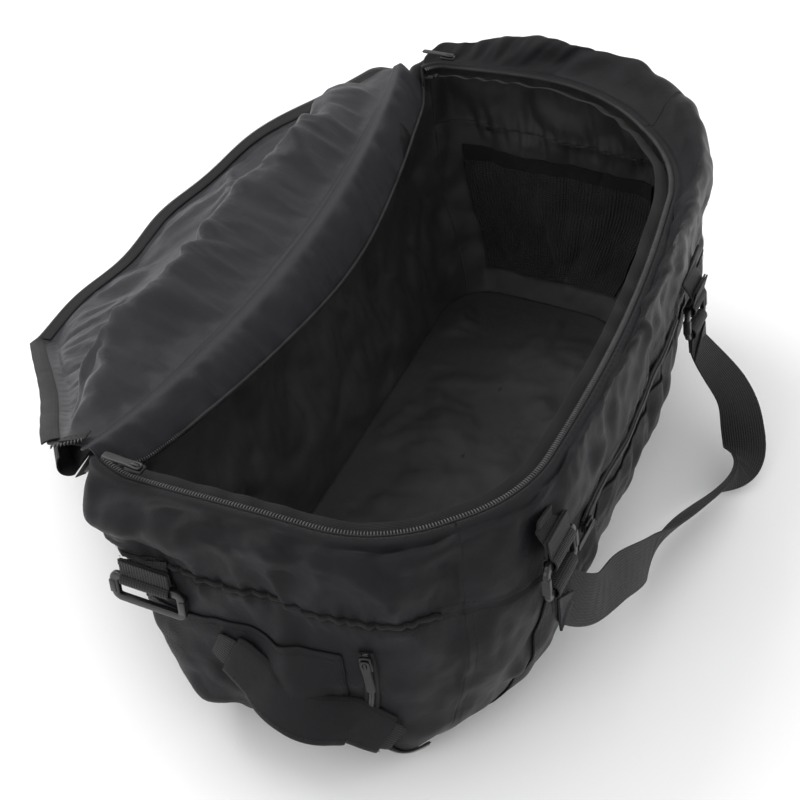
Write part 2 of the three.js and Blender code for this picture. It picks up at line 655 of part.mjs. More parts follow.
// The corner is drawn where it lies on the closed lid, then turned half round about the fold.
const lidCorner = new THREE.Group();
const foldAxisPoint = foldFrom.clone().setZ(-FOLD_GAP);
lidCorner.quaternion.setFromAxisAngle(foldAlong, Math.PI);
lidCorner.position.copy(foldAxisPoint).sub(foldAxisPoint.clone().applyQuaternion(lidCorner.quaternion));
lid.add(lidCorner);
const cornerEnd = FOLD_START - 4;
add(lidCorner, 'lid_corner_panel', lidCloth([
  trimmed(foldTo, -1),
  ...lidRun(FOLD_END - FOLD_STEP, cornerEnd + FOLD_STEP, 36, LID_CLOTH_INSET),
  trimmed(foldFrom, -1),
]), COATED);
add(lidCorner, 'lid_corner_zip_tape', lidTape(FOLD_END - FOLD_ROOM, cornerEnd + FOLD_ROOM, 32), BINDING);
add(lidCorner, 'lid_corner_zip_coil', lidCoil(FOLD_END - FOLD_ROOM, cornerEnd + FOLD_ROOM, 32), COIL);

// ---- zip sliders with their pullers ----
const SLIDE = { length: 14, width: 10, height: 3, pin: 2.8, puller: 30, pullerWidth: 8, pullerThick: 1.4 };

function sliderBody() {
  const { length, width, height } = SLIDE;
  const shape = roundedRectangle(new THREE.Shape(), -width / 2, -length / 2, width / 2, length / 2, 3);
  const plate = new THREE.ExtrudeGeometry(shape, { depth: height, bevelEnabled: false, curveSegments: 2 });
  const bridge = new THREE.BoxGeometry(2.4, 3, 3.2).translate(0, 0, height + 1);
  return join(plate, bridge);
}

// The puller's eye goes round the slider's bridge and turns on its front bar; its tab lies along -Y.
function pullerTab() {
  const { puller, pullerWidth, pullerThick, pin } = SLIDE;
  const half = pullerWidth / 2;
  const shape = roundedRectangle(new THREE.Shape(), -half, -puller, half, pin + 0.6, 0.8);
  shape.holes.push(roundedRectangle(new THREE.Path(), -1.9, pin - 5.4, 1.9, pin - 0.6, 0.6));
  const tab = new THREE.ExtrudeGeometry(shape, { depth: pullerThick, bevelEnabled: false, curveSegments: 2 });
  return tab.translate(0, 0, SLIDE.height + 0.5);
}

// along is the way the slider runs, out the way it faces; its pull tab lies the other way.
function addSlider(name, at, along, out) {
  const group = new THREE.Group();
  const across = along.clone().cross(out).normalize();
  const turned = new THREE.Matrix4().makeBasis(across, along, across.clone().cross(along));
  group.quaternion.setFromRotationMatrix(turned);
  group.position.copy(at);
  bag.add(group);
  add(group, `${name}_slider`, sliderBody(), SLIDER);
  add(group, `${name}_puller`, pullerTab(), SLIDER);
}
function surfaceSlider(name, route, t, direction) {
  const lift = ZIP_LIFT + TAPE + ZIP_RIDGE + 0.5;
  const point = (u) => tubOffset(...route(u), lift);
  const along = point(t + 0.02).sub(point(t - 0.02)).multiplyScalar(direction).normalize();
  addSlider(name, point(t), along, tubNormal(...route(t)));
}
surfaceSlider('front_pocket', alongLine(FRONT_ZIP), 0.04, 1);
surfaceSlider('back_pocket', alongLine(BACK_ZIP), 0.96, -1);
surfaceSlider('near_pocket', downLine(NEAR_ZIP), 0.08, -1);
surfaceSlider('far_pocket', downLine(FAR_ZIP), 0.08, -1);

function mouthSlider(name, station, direction) {
  const [frame] = mouthFrames(station, station + 0.1, 1, COIL_INSET);
  const forward = frame.up.clone().cross(frame.side).multiplyScalar(direction);
  frame.at.z += COIL_WIDTH / 2 + 0.5;
  addSlider(name, frame.at, forward, frame.up);
}
mouthSlider('mouth_near', 3.32, 1);
mouthSlider('mouth_far', 5.68, -1);

export default bag;
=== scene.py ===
import json
import math

import bmesh
import bpy
import numpy as np
from mathutils import Matrix, Vector, noise
from mathutils.geometry import delaunay_2d_cdt


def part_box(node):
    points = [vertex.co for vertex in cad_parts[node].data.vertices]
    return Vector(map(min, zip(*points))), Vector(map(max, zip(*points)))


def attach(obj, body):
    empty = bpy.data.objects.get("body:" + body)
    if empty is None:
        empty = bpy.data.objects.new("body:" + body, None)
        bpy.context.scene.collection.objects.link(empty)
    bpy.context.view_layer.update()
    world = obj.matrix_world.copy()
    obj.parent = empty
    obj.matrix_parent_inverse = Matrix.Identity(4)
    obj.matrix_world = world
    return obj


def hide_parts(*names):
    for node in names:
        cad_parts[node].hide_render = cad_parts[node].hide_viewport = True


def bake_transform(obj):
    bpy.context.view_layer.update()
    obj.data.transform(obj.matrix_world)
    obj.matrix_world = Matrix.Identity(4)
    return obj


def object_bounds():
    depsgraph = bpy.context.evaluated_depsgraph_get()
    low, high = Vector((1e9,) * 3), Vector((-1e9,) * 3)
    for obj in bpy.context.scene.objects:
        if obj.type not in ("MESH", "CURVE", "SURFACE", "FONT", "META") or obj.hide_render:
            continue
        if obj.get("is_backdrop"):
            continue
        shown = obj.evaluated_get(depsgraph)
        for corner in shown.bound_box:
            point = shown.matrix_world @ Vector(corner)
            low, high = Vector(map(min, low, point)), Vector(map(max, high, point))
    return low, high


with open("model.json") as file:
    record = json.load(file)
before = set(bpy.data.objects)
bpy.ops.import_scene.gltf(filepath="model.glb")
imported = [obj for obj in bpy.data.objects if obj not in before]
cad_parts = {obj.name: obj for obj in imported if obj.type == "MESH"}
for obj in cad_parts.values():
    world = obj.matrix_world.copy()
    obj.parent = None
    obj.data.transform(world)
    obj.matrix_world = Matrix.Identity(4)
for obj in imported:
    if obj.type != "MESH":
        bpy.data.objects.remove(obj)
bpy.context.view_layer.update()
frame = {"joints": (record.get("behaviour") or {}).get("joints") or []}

# Metres, +Z up, the CAD part's own frame: near end towards -X, front towards -Y.


def linked(name, data):
    """A new object, linked to the scene."""
    obj = bpy.data.objects.new(name, data)
    bpy.context.scene.collection.objects.link(obj)
    return obj


# ---------------------------------------------------------------- camera
CAMERA_AT = Vector((-0.849, -0.321, 0.885))
CAMERA_AIM = Vector((-0.0306, 0.0227, 0.1148))
camera = linked("camera", bpy.data.cameras.new("camera"))
camera.location = CAMERA_AT
camera.rotation_mode = "QUATERNION"
camera.rotation_quaternion = (CAMERA_AIM - CAMERA_AT).to_track_quat("-Z", "Y")
camera.data.sensor_width = 36
camera.data.lens = 60.75
camera.data.clip_start = 0.05
bpy.context.scene.camera = camera

# ---------------------------------------------------------------- driving dimensions
# Horizontal outlines of the tub, millimetres: height near and far, near, far, front and back sides, corner
# radii near, far and back, swell of the front and of the ends, drop along the back.
LEVELS = np.array([
    (0, 0, -288, 296, -118, 88, 60, 60, 45, 4, 4, 0),
    (45, 45, -308, 318, -150, 108, 95, 80, 50, 14, 6, 0),
    (115, 115, -312, 330, -164, 134, 105, 80, 50, 16, 6, 0),
    (185, 192, -312, 336, -162, 147, 118, 85, 45, 18, 6, 0),
    (222, 272, -308, 330, -158, 150, 124, 120, 38, 18, 8, 24),
    (232, 262, -300, 307, -154, 149, 126, 160, 32, 16, 8, 8),
]) / 1000
MOUTH = 5
GUSSET_SEAM = 2.8
LONG_CORNER, SHORT_CORNER = 0.15, 0.3
SKIN = 0.0011
HINGE_Y = 0.152
LID_DROOP = math.radians(37)
LID_TILT = math.atan(30 / 607)
HINGE_Z = 0.232 + 0.3 * 30 / 607
COIL_INSET = 0.010
LID_INSET = 0.0174
FOLD_START, FOLD_END = 3.33, 0.4
FOLD_GAP = 0.009
RING_PITCH = 0.023
FRONT_ZIP_LEVEL, FRONT_ZIP_SPAN = 2.62, (0.2, 0.64)
BACK_ZIP_LEVEL, BACK_ZIP_SPAN = 4.0, (2.38, 2.7)
rng = np.random.default_rng(7)


# ---------------------------------------------------------------- meshes
def add_mesh(name, points, faces, look, body=None, uv=None):
    """A smooth-shaded mesh; faces are rows of point numbers, uv has one row a point."""
    mesh = bpy.data.meshes.new(name)
    rows = faces if isinstance(faces, list) else faces.tolist()
    mesh.from_pydata(np.asarray(points, float).tolist(), [], rows)
    if uv is not None:
        layer = mesh.uv_layers.new(name="UVMap")
        index = np.empty(len(mesh.loops), int)
        mesh.loops.foreach_get("vertex_index", index)
        layer.data.foreach_set("uv", np.asarray(uv, float)[index].ravel())
    mesh.update()
    mesh.polygons.foreach_set("use_smooth", [True] * len(mesh.polygons))
    obj = linked(name, mesh)
    if look:
        mesh.materials.append(look)
    if body:
        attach(obj, body)
    return obj


def grid_faces(rows, cols, closed=False):
    """Four-sided faces between the points of a grid; closed joins the last column to the first."""
    r = np.arange(rows - 1)[:, None]
    c = np.arange(cols if closed else cols - 1)[None, :]
    n = (c + 1) % cols
    return np.stack([r * cols + c, r * cols + n, (r + 1) * cols + n, (r + 1) * cols + c], -1).reshape(-1, 4)


def grid_uv(points):
    """A grid's UV map in metres, from its mean spacing."""
    du = np.linalg.norm(np.diff(points, axis=1), axis=2).mean(0)
    dv = np.linalg.norm(np.diff(points, axis=0), axis=2).mean(1)
    u = np.concatenate([[0], np.cumsum(du)])
    v = np.concatenate([[0], np.cumsum(dv)])
    return np.stack(np.meshgrid(u, v), -1).reshape(-1, 2)


def thicken(obj, thick, offset):
    solid = obj.modifiers.new("thickness", "SOLIDIFY")
    solid.thickness, solid.offset = thick, offset
    return solid


def soften(obj, levels=1):
    sub = obj.modifiers.new("smooth", "SUBSURF")
    sub.levels = sub.render_levels = levels


def apply_modifiers(obj):
    graph = bpy.context.evaluated_depsgraph_get()
    mesh = bpy.data.meshes.new_from_object(obj.evaluated_get(graph))
    obj.modifiers.clear()
    obj.data = mesh
    return obj


def grid_piece(name, points, look, body=None, thick=SKIN, offset=-1.0, smoother=1, lining=None, weld=False):
    """Cloth over a grid of points. lining is the back's material; weld joins doubled points."""
    faces = grid_faces(*points.shape[:2])
    obj = add_mesh(name, points.reshape(-1, 3), faces, look, None, grid_uv(points))
    if weld:
        bm = bmesh.new()
        bm.from_mesh(obj.data)
        bmesh.ops.remove_doubles(bm, verts=bm.verts[:], dist=1e-5)
        bm.to_mesh(obj.data)
        bm.free()
    solid = thicken(obj, thick, offset)
    solid.use_even_offset = False
    solid.edge_crease_inner = solid.edge_crease_outer = solid.edge_crease_rim = 1.0
    if lining:
        obj.data.materials.append(lining)
        solid.material_offset = 1
    if smoother:
        soften(obj, smoother)
    apply_modifiers(obj)
    if body:
        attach(obj, body)
    return obj


def unit(v):
    """Rows scaled to length 1."""
    v = np.asarray(v, float)
    return v / np.maximum(np.linalg.norm(v, axis=-1, keepdims=True), 1e-12)


def smoothstep(x, a, b):
    """0 up to a, 1 from b on, and smooth between."""
    t = np.clip((np.asarray(x, float) - a) / (b - a), 0, 1)
    return t * t * (3 - 2 * t)


def travelled(line):
    """The length run along a line up to each of its points."""
    return np.concatenate([[0], np.cumsum(np.linalg.norm(np.diff(line, axis=0), axis=1))])


def noise_shift(seed):
    return Vector((seed * 1.7, seed * 2.3, seed * 3.1))


def fractal(points, scale, seed=0.0, octaves=3):
    """Soft noise at each point."""
    shift = noise_shift(seed)
    return np.array([noise.fractal(Vector(p) * scale + shift, 0.9, 2.0, octaves) for p in points])


def ridged(points, scale, seed=0.0, octaves=3):
    """Noise with sharp crests at each point."""
    shift = noise_shift(seed)
    return np.array([
        noise.ridged_multi_fractal(Vector(p) * scale + shift, 0.9, 2.0, octaves, 1.0, 2.0) for p in points
    ])


def placed_sections(at, side, up, section):
    """A section of (side, up) offsets at every frame."""
    return at[:, None] + side[:, None] * section[None, :, :1] + up[:, None] * section[None, :, 1:]


def capped_faces(count, around):
    """The faces of a swept section, with both ends closed."""
    last = count * around
    ends = [list(range(around)), list(range(last - around, last))[::-1]]
    return grid_faces(count, around, True)[:, ::-1].tolist() + ends


def sweep(name, at, side, up, section, look, body):
    """A section of (side, up) offsets carried along frames."""
    points = placed_sections(at, side, up, section)
    uv = np.stack(np.meshgrid(travelled(section), travelled(at)), -1).reshape(-1, 2)
    return add_mesh(name, points.reshape(-1, 3), capped_faces(*points.shape[:2]), look, body, uv)


def rounded_section(width, thick, steps=3):
    """A flat band's section with round edges."""
    r = thick / 2
    turn = np.linspace(-math.pi / 2, math.pi / 2, 2 * steps + 1)
    right = np.stack([width / 2 - r + r * np.cos(turn), r * np.sin(turn)], -1)
    return np.concatenate([right, -right])


def circle_section(radius, sides):
    a = np.linspace(0, 2 * math.pi, sides, endpoint=False)
    return np.stack([radius * np.cos(a), radius * np.sin(a)], -1)


def squared_section(width, thick, count, power_x, power_y):
    """A section between an ellipse and a box: the smaller the powers, the squarer."""
    a = np.linspace(0, 2 * math.pi, count, endpoint=False)
    return np.stack([
        np.sign(np.cos(a)) * np.abs(np.cos(a)) ** power_x * width / 2,
        np.sign(np.sin(a)) * np.abs(np.sin(a)) ** power_y * thick / 2,
    ], -1)


def bar_shape(width, length, height, bend=0.0, sides=6, steps=4):
    """A small rounded bar lying along x: a thread stitch or one turn of a zip coil."""
    x = np.linspace(-1, 1, steps + 1)
    end = np.sqrt(np.maximum(1 - np.abs(x) ** 4, 0.12))
    angle = np.linspace(0, 2 * math.pi, sides, endpoint=False)
    points = np.stack([
        np.repeat(x[:, None] * width / 2, sides, 1),
        end[:, None] * np.cos(angle)[None] * length / 2,
        end[:, None] * np.sin(angle)[None] * height / 2 + bend * (1 - x[:, None] ** 2),
    ], -1).reshape(-1, 3)
    faces = grid_faces(steps + 1, sides, True)
    centre = len(points)
    points = np.concatenate([points, [[-width / 2, 0, 0], [width / 2, 0, 0]]])
    i = np.arange(sides)
    j = (i + 1) % sides
    last = steps * sides
    ends = np.concatenate([
        np.stack([np.full(sides, centre), j, i, i], -1),
        np.stack([np.full(sides, centre + 1), last + i, last + j, last + j], -1),
    ])
    return points, [list(f) for f in faces[:, ::-1]] + [[a, b, c] for a, b, c, _ in ends]


def placed_bars(name, at, forward, up, size, look, body, sides=5, steps=3):
    """Bars across the way forward, as one mesh. Faces are quads, their ends closed by fans."""
    points, faces = bar_shape(*size, sides=sides, steps=steps)
    forward = unit(forward)
    across = unit(np.cross(forward, up))
    up = np.cross(across, forward)
    x, y, z = (points[None, :, k:k + 1] for k in range(3))
    placed = at[:, None] + across[:, None] * x + forward[:, None] * y + up[:, None] * z
    every = [[v + i * len(points) for v in f] for i in range(len(at)) for f in faces]
    return add_mesh(name, placed.reshape(-1, 3), every, look, body)


def resample(line, pitch, normals=None):
    """Points spaced pitch apart along a line, with their directions and the normals carried along."""
    length = travelled(line)
    count = max(int(length[-1] / pitch), 2)
    t = np.linspace(0, length[-1], count)
    at = np.stack([np.interp(t, length, line[:, k]) for k in range(3)], -1)
    ahead = unit(np.gradient(at, axis=0))
    if normals is None:
        return at, ahead
    return at, ahead, unit(np.stack([np.interp(t, length, normals[:, k]) for k in range(3)], -1))


def spline(stops, count):
    """A smooth line through stops (rows of any width), evenly spaced."""
    stops = np.asarray(stops, float)
    ends = np.concatenate([[2 * stops[0] - stops[1]], stops, [2 * stops[-1] - stops[-2]]])
    rows = []
    for i in range(1, len(ends) - 2):
        a, b, c, d = ends[i - 1:i + 3]
        t = np.linspace(0, 1, 40, endpoint=False)[:, None]
        square, cube = 2 * a - 5 * b + 4 * c - d, 3 * b - a - 3 * c + d
        rows.append(0.5 * (2 * b + (c - a) * t + square * t**2 + cube * t**3))
    rows.append(stops[-1:])
    line = np.concatenate(rows)
    length = travelled(line[:, :3])
    t = np.linspace(0, length[-1], count)
    return np.stack([np.interp(t, length, line[:, k]) for k in range(line.shape[1])], -1)


# ---------------------------------------------------------------- materials
def material(name):
    """An empty node material: the material, its tree and its shader."""
    made = bpy.data.materials.new(name)
    made.use_nodes = True
    tree = made.node_tree
    tree.nodes.clear()
    out = tree.nodes.new("ShaderNodeOutputMaterial")
    shader = tree.nodes.new("ShaderNodeBsdfPrincipled")
    tree.links.new(shader.outputs[0], out.inputs[0])
    return made, tree, shader


def node(tree, kind, settings=None, **inputs):
    """A node with its settings and inputs set; an input given a socket is linked."""
    made = tree.nodes.new("ShaderNode" + kind)
    for key, value in (settings or {}).items():
        setattr(made, key, value)
    for key, value in inputs.items():
        socket = made.inputs[int(key[1:]) if key[1:].isdigit() else key.replace("_", " ")]
        if isinstance(value, bpy.types.NodeSocket):
            tree.links.new(value, socket)
        else:
            socket.default_value = value
    return made


def noise_node(tree, vector, scale, detail=4.0, roughness=0.55, kind="FBM"):
    inputs = {"Vector": vector, "Scale": scale, "Detail": detail, "Roughness": roughness}
    return node(tree, "TexNoise", {"noise_type": kind}, **inputs).outputs[0]


def ramp(tree, value, stops):
    """A colour, or a plain value, picked by value from stops of (place, colour)."""
    made = node(tree, "ValToRGB", None, _0=value)
    elements = made.color_ramp.elements
    while len(elements) < len(stops):
        elements.new(0.5)
    for element, (place, color) in zip(elements, stops):
        element.position = place
        element.color = (*color, 1) if hasattr(color, "__len__") else (color, color, color, 1)
    return made.outputs[0]


def combine(tree, operation, a, b):
    return node(tree, "Math", {"operation": operation}, _0=a, _1=b).outputs[0]


def bump(tree, height, distance, normal=None, strength=1.0):
    made = node(tree, "Bump", None, Height=height, Distance=distance, Strength=strength)
    if normal is not None:
        tree.links.new(normal, made.inputs["Normal"])
    return made.outputs[0]


def set_inputs(shader, values):
    for name, value in values.items():
        shader.inputs[name].default_value = value


THREAD_PITCH = 0.0006


def woven(name, dark, light, rough, sheen, specular, crease, crease_scale=26.0, twill=True):
    """Cloth: threads from its UV map in metres, soft creases and colour variation from its place."""
    made, tree, shader = material(name)
    place = node(tree, "TexCoord").outputs["Object"]
    uv = node(tree, "UVMap").outputs[0]
    split = node(tree, "SeparateXYZ", None, _0=uv)
    turns = 2 * math.pi / THREAD_PITCH
    across = combine(tree, "MULTIPLY", split.outputs[0], turns)
    along = combine(tree, "MULTIPLY", split.outputs[1], turns)
    if twill:
        diagonal = combine(tree, "SINE", combine(tree, "ADD", across, along), 0.0)
        rib = combine(tree, "MULTIPLY", combine(tree, "SINE", across, 0.0), 0.4)
        threads = combine(tree, "ADD", diagonal, rib)
    else:
        sines = [combine(tree, "SINE", way, 0.0) for way in (across, along)]
        threads = combine(tree, "MULTIPLY", *sines)
    wear = noise_node(tree, place, 9.0, 6.0, 0.6)
    fleck = noise_node(tree, place, 900.0, 2.0, 0.5)
    tone = combine(tree, "ADD", combine(tree, "MULTIPLY", wear, 0.8), combine(tree, "MULTIPLY", fleck, 0.2))
    color = ramp(tree, tone, [(0.3, dark), (0.7, light)])
    tree.links.new(color, shader.inputs["Base Color"])
    tree.links.new(ramp(tree, wear, [(0.3, rough - 0.06), (0.7, rough + 0.06)]), shader.inputs["Roughness"])
    creases = noise_node(tree, place, crease_scale, 3.0, 0.5, "RIDGED_MULTIFRACTAL")
    soft = noise_node(tree, place, crease_scale * 2.3, 4.0, 0.6)
    normal = bump(tree, creases, crease)
    normal = bump(tree, soft, crease * 0.5, normal)
    normal = bump(tree, threads, THREAD_PITCH * 0.12, normal, 0.7)
    tree.links.new(normal, shader.inputs["Normal"])
    set_inputs(shader, {
        "Sheen Weight": sheen, "Sheen Roughness": 0.45, "Sheen Tint": (0.8, 0.78, 0.9, 1),
        "Specular IOR Level": specular,
    })
    return made


def ribbed(name, dark, light, rough, pitch, depth):
    """Webbing and tape: ribs across the width, from the UV map in metres."""
    made, tree, shader = material(name)
    place = node(tree, "TexCoord").outputs["Object"]
    split = node(tree, "SeparateXYZ", None, _0=node(tree, "UVMap").outputs[0])
    across = combine(tree, "SINE", combine(tree, "MULTIPLY", split.outputs[0], 2 * math.pi / pitch), 0.0)
    turns = 2 * math.pi / (pitch * 0.8)
    along = combine(tree, "SINE", combine(tree, "MULTIPLY", split.outputs[1], turns), 0.0)
    weave = combine(tree, "ADD", across, combine(tree, "MULTIPLY", along, 0.6))
    wear = noise_node(tree, place, 30.0, 5.0, 0.6)
    tone = combine(tree, "ADD", combine(tree, "MULTIPLY", wear, 0.8), combine(tree, "MULTIPLY", weave, 0.08))
    tree.links.new(ramp(tree, tone, [(0.25, dark), (0.6, light)]), shader.inputs["Base Color"])
    tree.links.new(ramp(tree, wear, [(0.3, rough - 0.08), (0.7, rough + 0.05)]), shader.inputs["Roughness"])
    normal = bump(tree, noise_node(tree, place, 60.0, 4.0, 0.6), 0.0006)
    normal = bump(tree, weave, depth, normal)
    tree.links.new(normal, shader.inputs["Normal"])
    set_inputs(shader, {"Sheen Weight": 0.05, "Sheen Roughness": 0.5, "Specular IOR Level": 0.2})
    return made


def moulded(name, dark, light, rough, metallic=0.0, coat=0.2):
    """Plastic or painted metal: fine grain, faint scuffs."""
    made, tree, shader = material(name)
    place = node(tree, "TexCoord").outputs["Object"]
    grain = noise_node(tree, place, 700.0, 3.0, 0.6)
    scuffs = noise_node(tree, place, 90.0, 6.0, 0.7)
    tree.links.new(ramp(tree, scuffs, [(0.35, dark), (0.75, light)]), shader.inputs["Base Color"])
    roughness = ramp(tree, scuffs, [(0.3, rough - 0.06), (0.75, rough + 0.14)])
    tree.links.new(roughness, shader.inputs["Roughness"])
    tree.links.new(bump(tree, grain, 0.00004, bump(tree, scuffs, 0.00008)), shader.inputs["Normal"])
    set_inputs(shader, {
        "Metallic": metallic, "Specular IOR Level": 0.3, "Coat Weight": coat, "Coat Roughness": 0.25,
    })
    return made


NYLON = woven("nylon_outer", (0.0040, 0.0038, 0.0048), (0.0080, 0.0076, 0.0092), 0.42, 0.03, 0.15, 0.0024)
INNER = woven(
    "nylon_inner", (0.020, 0.0188, 0.0192), (0.034, 0.0318, 0.0325), 0.52, 0.03, 0.35, 0.0022, 18.0, False,
)
COATED = woven(
    "nylon_coated", (0.012, 0.0117, 0.0142), (0.019, 0.0184, 0.0222), 0.40, 0.05, 0.20, 0.0030, 15.0, False,
)
BINDING = ribbed("binding_tape", (0.005, 0.005, 0.0055), (0.011, 0.011, 0.012), 0.72, 0.0011, 0.00010)
WEBBING = ribbed("webbing", (0.006, 0.006, 0.0065), (0.014, 0.014, 0.0145), 0.62, 0.0022, 0.00022)
THREAD = ribbed("thread", (0.008, 0.008, 0.008), (0.02, 0.02, 0.02), 0.6, 0.0004, 0.00004)
COIL = moulded("coil_teeth", (0.035, 0.035, 0.036), (0.075, 0.075, 0.077), 0.32)
PLASTIC = moulded("gloss_plastic", (0.006, 0.006, 0.0065), (0.012, 0.012, 0.013), 0.30, coat=0.15)
PAINTED = moulded("painted_metal", (0.008, 0.008, 0.009), (0.02, 0.02, 0.021), 0.34, 0.5)
MESH_CLOTH = ribbed("pocket_mesh", (0.013, 0.0125, 0.0128), (0.024, 0.0230, 0.0235), 0.7, 0.003, 0.0004)


# ---------------------------------------------------------------- the tub's surface
def outline(level, s, inset=0.0):
    """Points of one level's outline at stations s: whole numbers are the corners, from the near front one."""
    z_near, z_far, near, far, front, back, r_near, r_far, r_back, bulge, end_bulge, drop = level
    s = np.mod(np.asarray(s, float), 4)
    side = np.minimum(s.astype(int), 3)
    part = s - side
    share = np.where(side % 2 == 0, LONG_CORNER, SHORT_CORNER)
    x = np.array([near + r_near, far - r_far, far - r_back, near + r_back])
    y = np.array([front + r_near, front + r_far, back - r_back, back - r_back])
    r = np.array([r_near, r_far, r_back, r_back]) - inset
    facing = -math.pi / 2 + side * math.pi / 2
    swell = np.array([bulge, end_bulge, 0, end_bulge])[side] * np.sin(math.pi * part)

    def arc(corner, angle):
        return (
            x[corner] + r[corner] * np.cos(angle) + swell * np.cos(facing),
            y[corner] + r[corner] * np.sin(angle) + swell * np.sin(facing),
        )

    first, second = side, (side + 1) % 4
    quarter = math.pi / 4
    start = arc(first, facing - quarter * (1 - part / share))
    end = arc(second, facing + quarter * (1 - (1 - part) / share))
    t = (part - share) / (1 - 2 * share)
    a, b = arc(first, facing), arc(second, facing)
    px, py = (
        np.where(part < share, start[k], np.where(part > 1 - share, end[k], a[k] + (b[k] - a[k]) * t))
        for k in (0, 1)
    )
    along = (px - near) / (far - near)
    z = z_near + (z_far - z_near) * along - drop * smoothstep(py, 0, back)
    return np.stack([px, py, z], -1)


def level_weights(v):
    """How much each level counts at v, so that the walls curve smoothly through the levels."""
    v = np.asarray(v, float)
    index = np.minimum(np.floor(v).astype(int), MOUTH - 1)
    t = v - index
    parts = [
        0.5 * (-t**3 + 2 * t**2 - t), 0.5 * (3 * t**3 - 5 * t**2 + 2),
        0.5 * (-3 * t**3 + 4 * t**2 + t), 0.5 * (t**3 - t**2),
    ]
    weights = np.zeros(v.shape + (MOUTH + 1,))
    for k, part in enumerate(parts):
        row = np.clip(index - 1 + k, 0, MOUTH)
        np.add.at(weights, (*np.indices(v.shape), row), part)
    return weights


def cad_tub(s, v):
    """Points of the tub's plain surface at stations s and levels v."""
    s, v = np.broadcast_arrays(np.asarray(s, float), np.asarray(v, float))
    levels = np.stack([outline(level, s) for level in LEVELS])
    return np.einsum("...l,l...k->...k", level_weights(v), levels)


def even_steps(point_of, low, high, pitch):
    """Parameter values that are spaced pitch apart along a line."""
    fine = np.linspace(low, high, 2001)
    length = travelled(point_of(fine))
    return np.interp(np.linspace(0, length[-1], int(length[-1] / pitch) + 1), length, fine)


CLOTH_PITCH = 0.0042
STATIONS = even_steps(lambda s: cad_tub(s, 3.0), 0, 4, CLOTH_PITCH)[:-1]
ROWS = even_steps(lambda v: cad_tub(0.5, v), 0, MOUTH, CLOTH_PITCH)
FLOOR_ROWS = np.linspace(0, 1, int(0.11 / CLOTH_PITCH))[1:-1]
FLOOR_RIDGE_LOW, FLOOR_RIDGE_HIGH, FLOOR_RIDGE_Y = -0.17, 0.18, -0.015
# how far the middle of the back wall's top and of the hinge hang inwards
WALL_HANG = np.array((0, -0.045, -0.040))
HINGE_HANG = np.array((0, -0.030, -0.022))
CORNER_DRAW = np.array((-0.003, 0.012, 0.002))


def corner_pull(s, v):
    """The near back corner of the mouth is drawn out to a point."""
    away = np.minimum(np.mod(s - 3.0, 4), np.mod(3.0 - s, 4))
    return (np.exp(-((away / 0.17) ** 2)) * smoothstep(v, 2.8, 4.6))[..., None] * CORNER_DRAW


def tub_base():
    """The tub at rest: rows of the floor from its middle outwards, then the walls up to the mouth."""
    walls = cad_tub(STATIONS[None], ROWS[:, None])
    rim = walls[0]
    middle_x = CLOTH_PITCH * np.round(np.clip(rim[:, 0], FLOOR_RIDGE_LOW, FLOOR_RIDGE_HIGH) / CLOTH_PITCH)
    middle = np.stack([middle_x, np.full(len(rim), FLOOR_RIDGE_Y), np.zeros(len(rim))], -1)
    floor = middle[None] + (rim - middle)[None] * FLOOR_ROWS[:, None, None]
    grid = np.concatenate([middle[None], floor, walls])
    s = np.broadcast_to(STATIONS, grid.shape[:2])
    v = np.broadcast_to(np.concatenate([[-1], FLOOR_ROWS - 1, ROWS])[:, None], grid.shape[:2])
    # the back wall hangs inwards between the ends of the hinge
    hang = np.where((s > 2) & (s < 3), np.abs(np.sin(math.pi * (s - 2))) ** 0.8, 0)
    grid += (hang * smoothstep(v, 4.05, 4.95))[..., None] * WALL_HANG
    # under the lid the wall's top slumps a little more in the middle
    slump = np.exp(-(((s - 2.42) / 0.20) ** 2)) * smoothstep(v, 3.2, 4.1)
    grid += slump[..., None] * np.array((0, -0.006, -0.016))
    # the gussets stand out in puffs outside the zip at both ends
    far_puff = np.exp(-((v - 4.1) / 0.5) ** 2) * smoothstep(s, 0.75, 1.25) * (1 - smoothstep(s, 1.8, 2.1))
    grid[..., 2] += 0.016 * far_puff
    near_puff = np.exp(-((v - 3.9) / 0.55) ** 2) * smoothstep(s, 2.85, 3.05) * (1 - smoothstep(s, 3.45, 3.95))
    grid += near_puff[..., None] * (-0.011, 0, 0.005)
    grid += corner_pull(s, v)
    return grid, s, v


def welded(grid, names):
    """The floor's middle row with the points of one name brought together."""
    row = grid[0].copy()
    for name in np.unique(names):
        row[names == name] = grid[0][names == name].mean(0)
    grid[0] = row
    return grid


def normals_of(grid):
    """Outward normals of a grid that closes round the tub."""
    around = np.roll(grid, -1, 1) - np.roll(grid, 1, 1)
    return unit(np.cross(around, np.gradient(grid, axis=0)))


CLOTH_STIFFNESS = 15.0


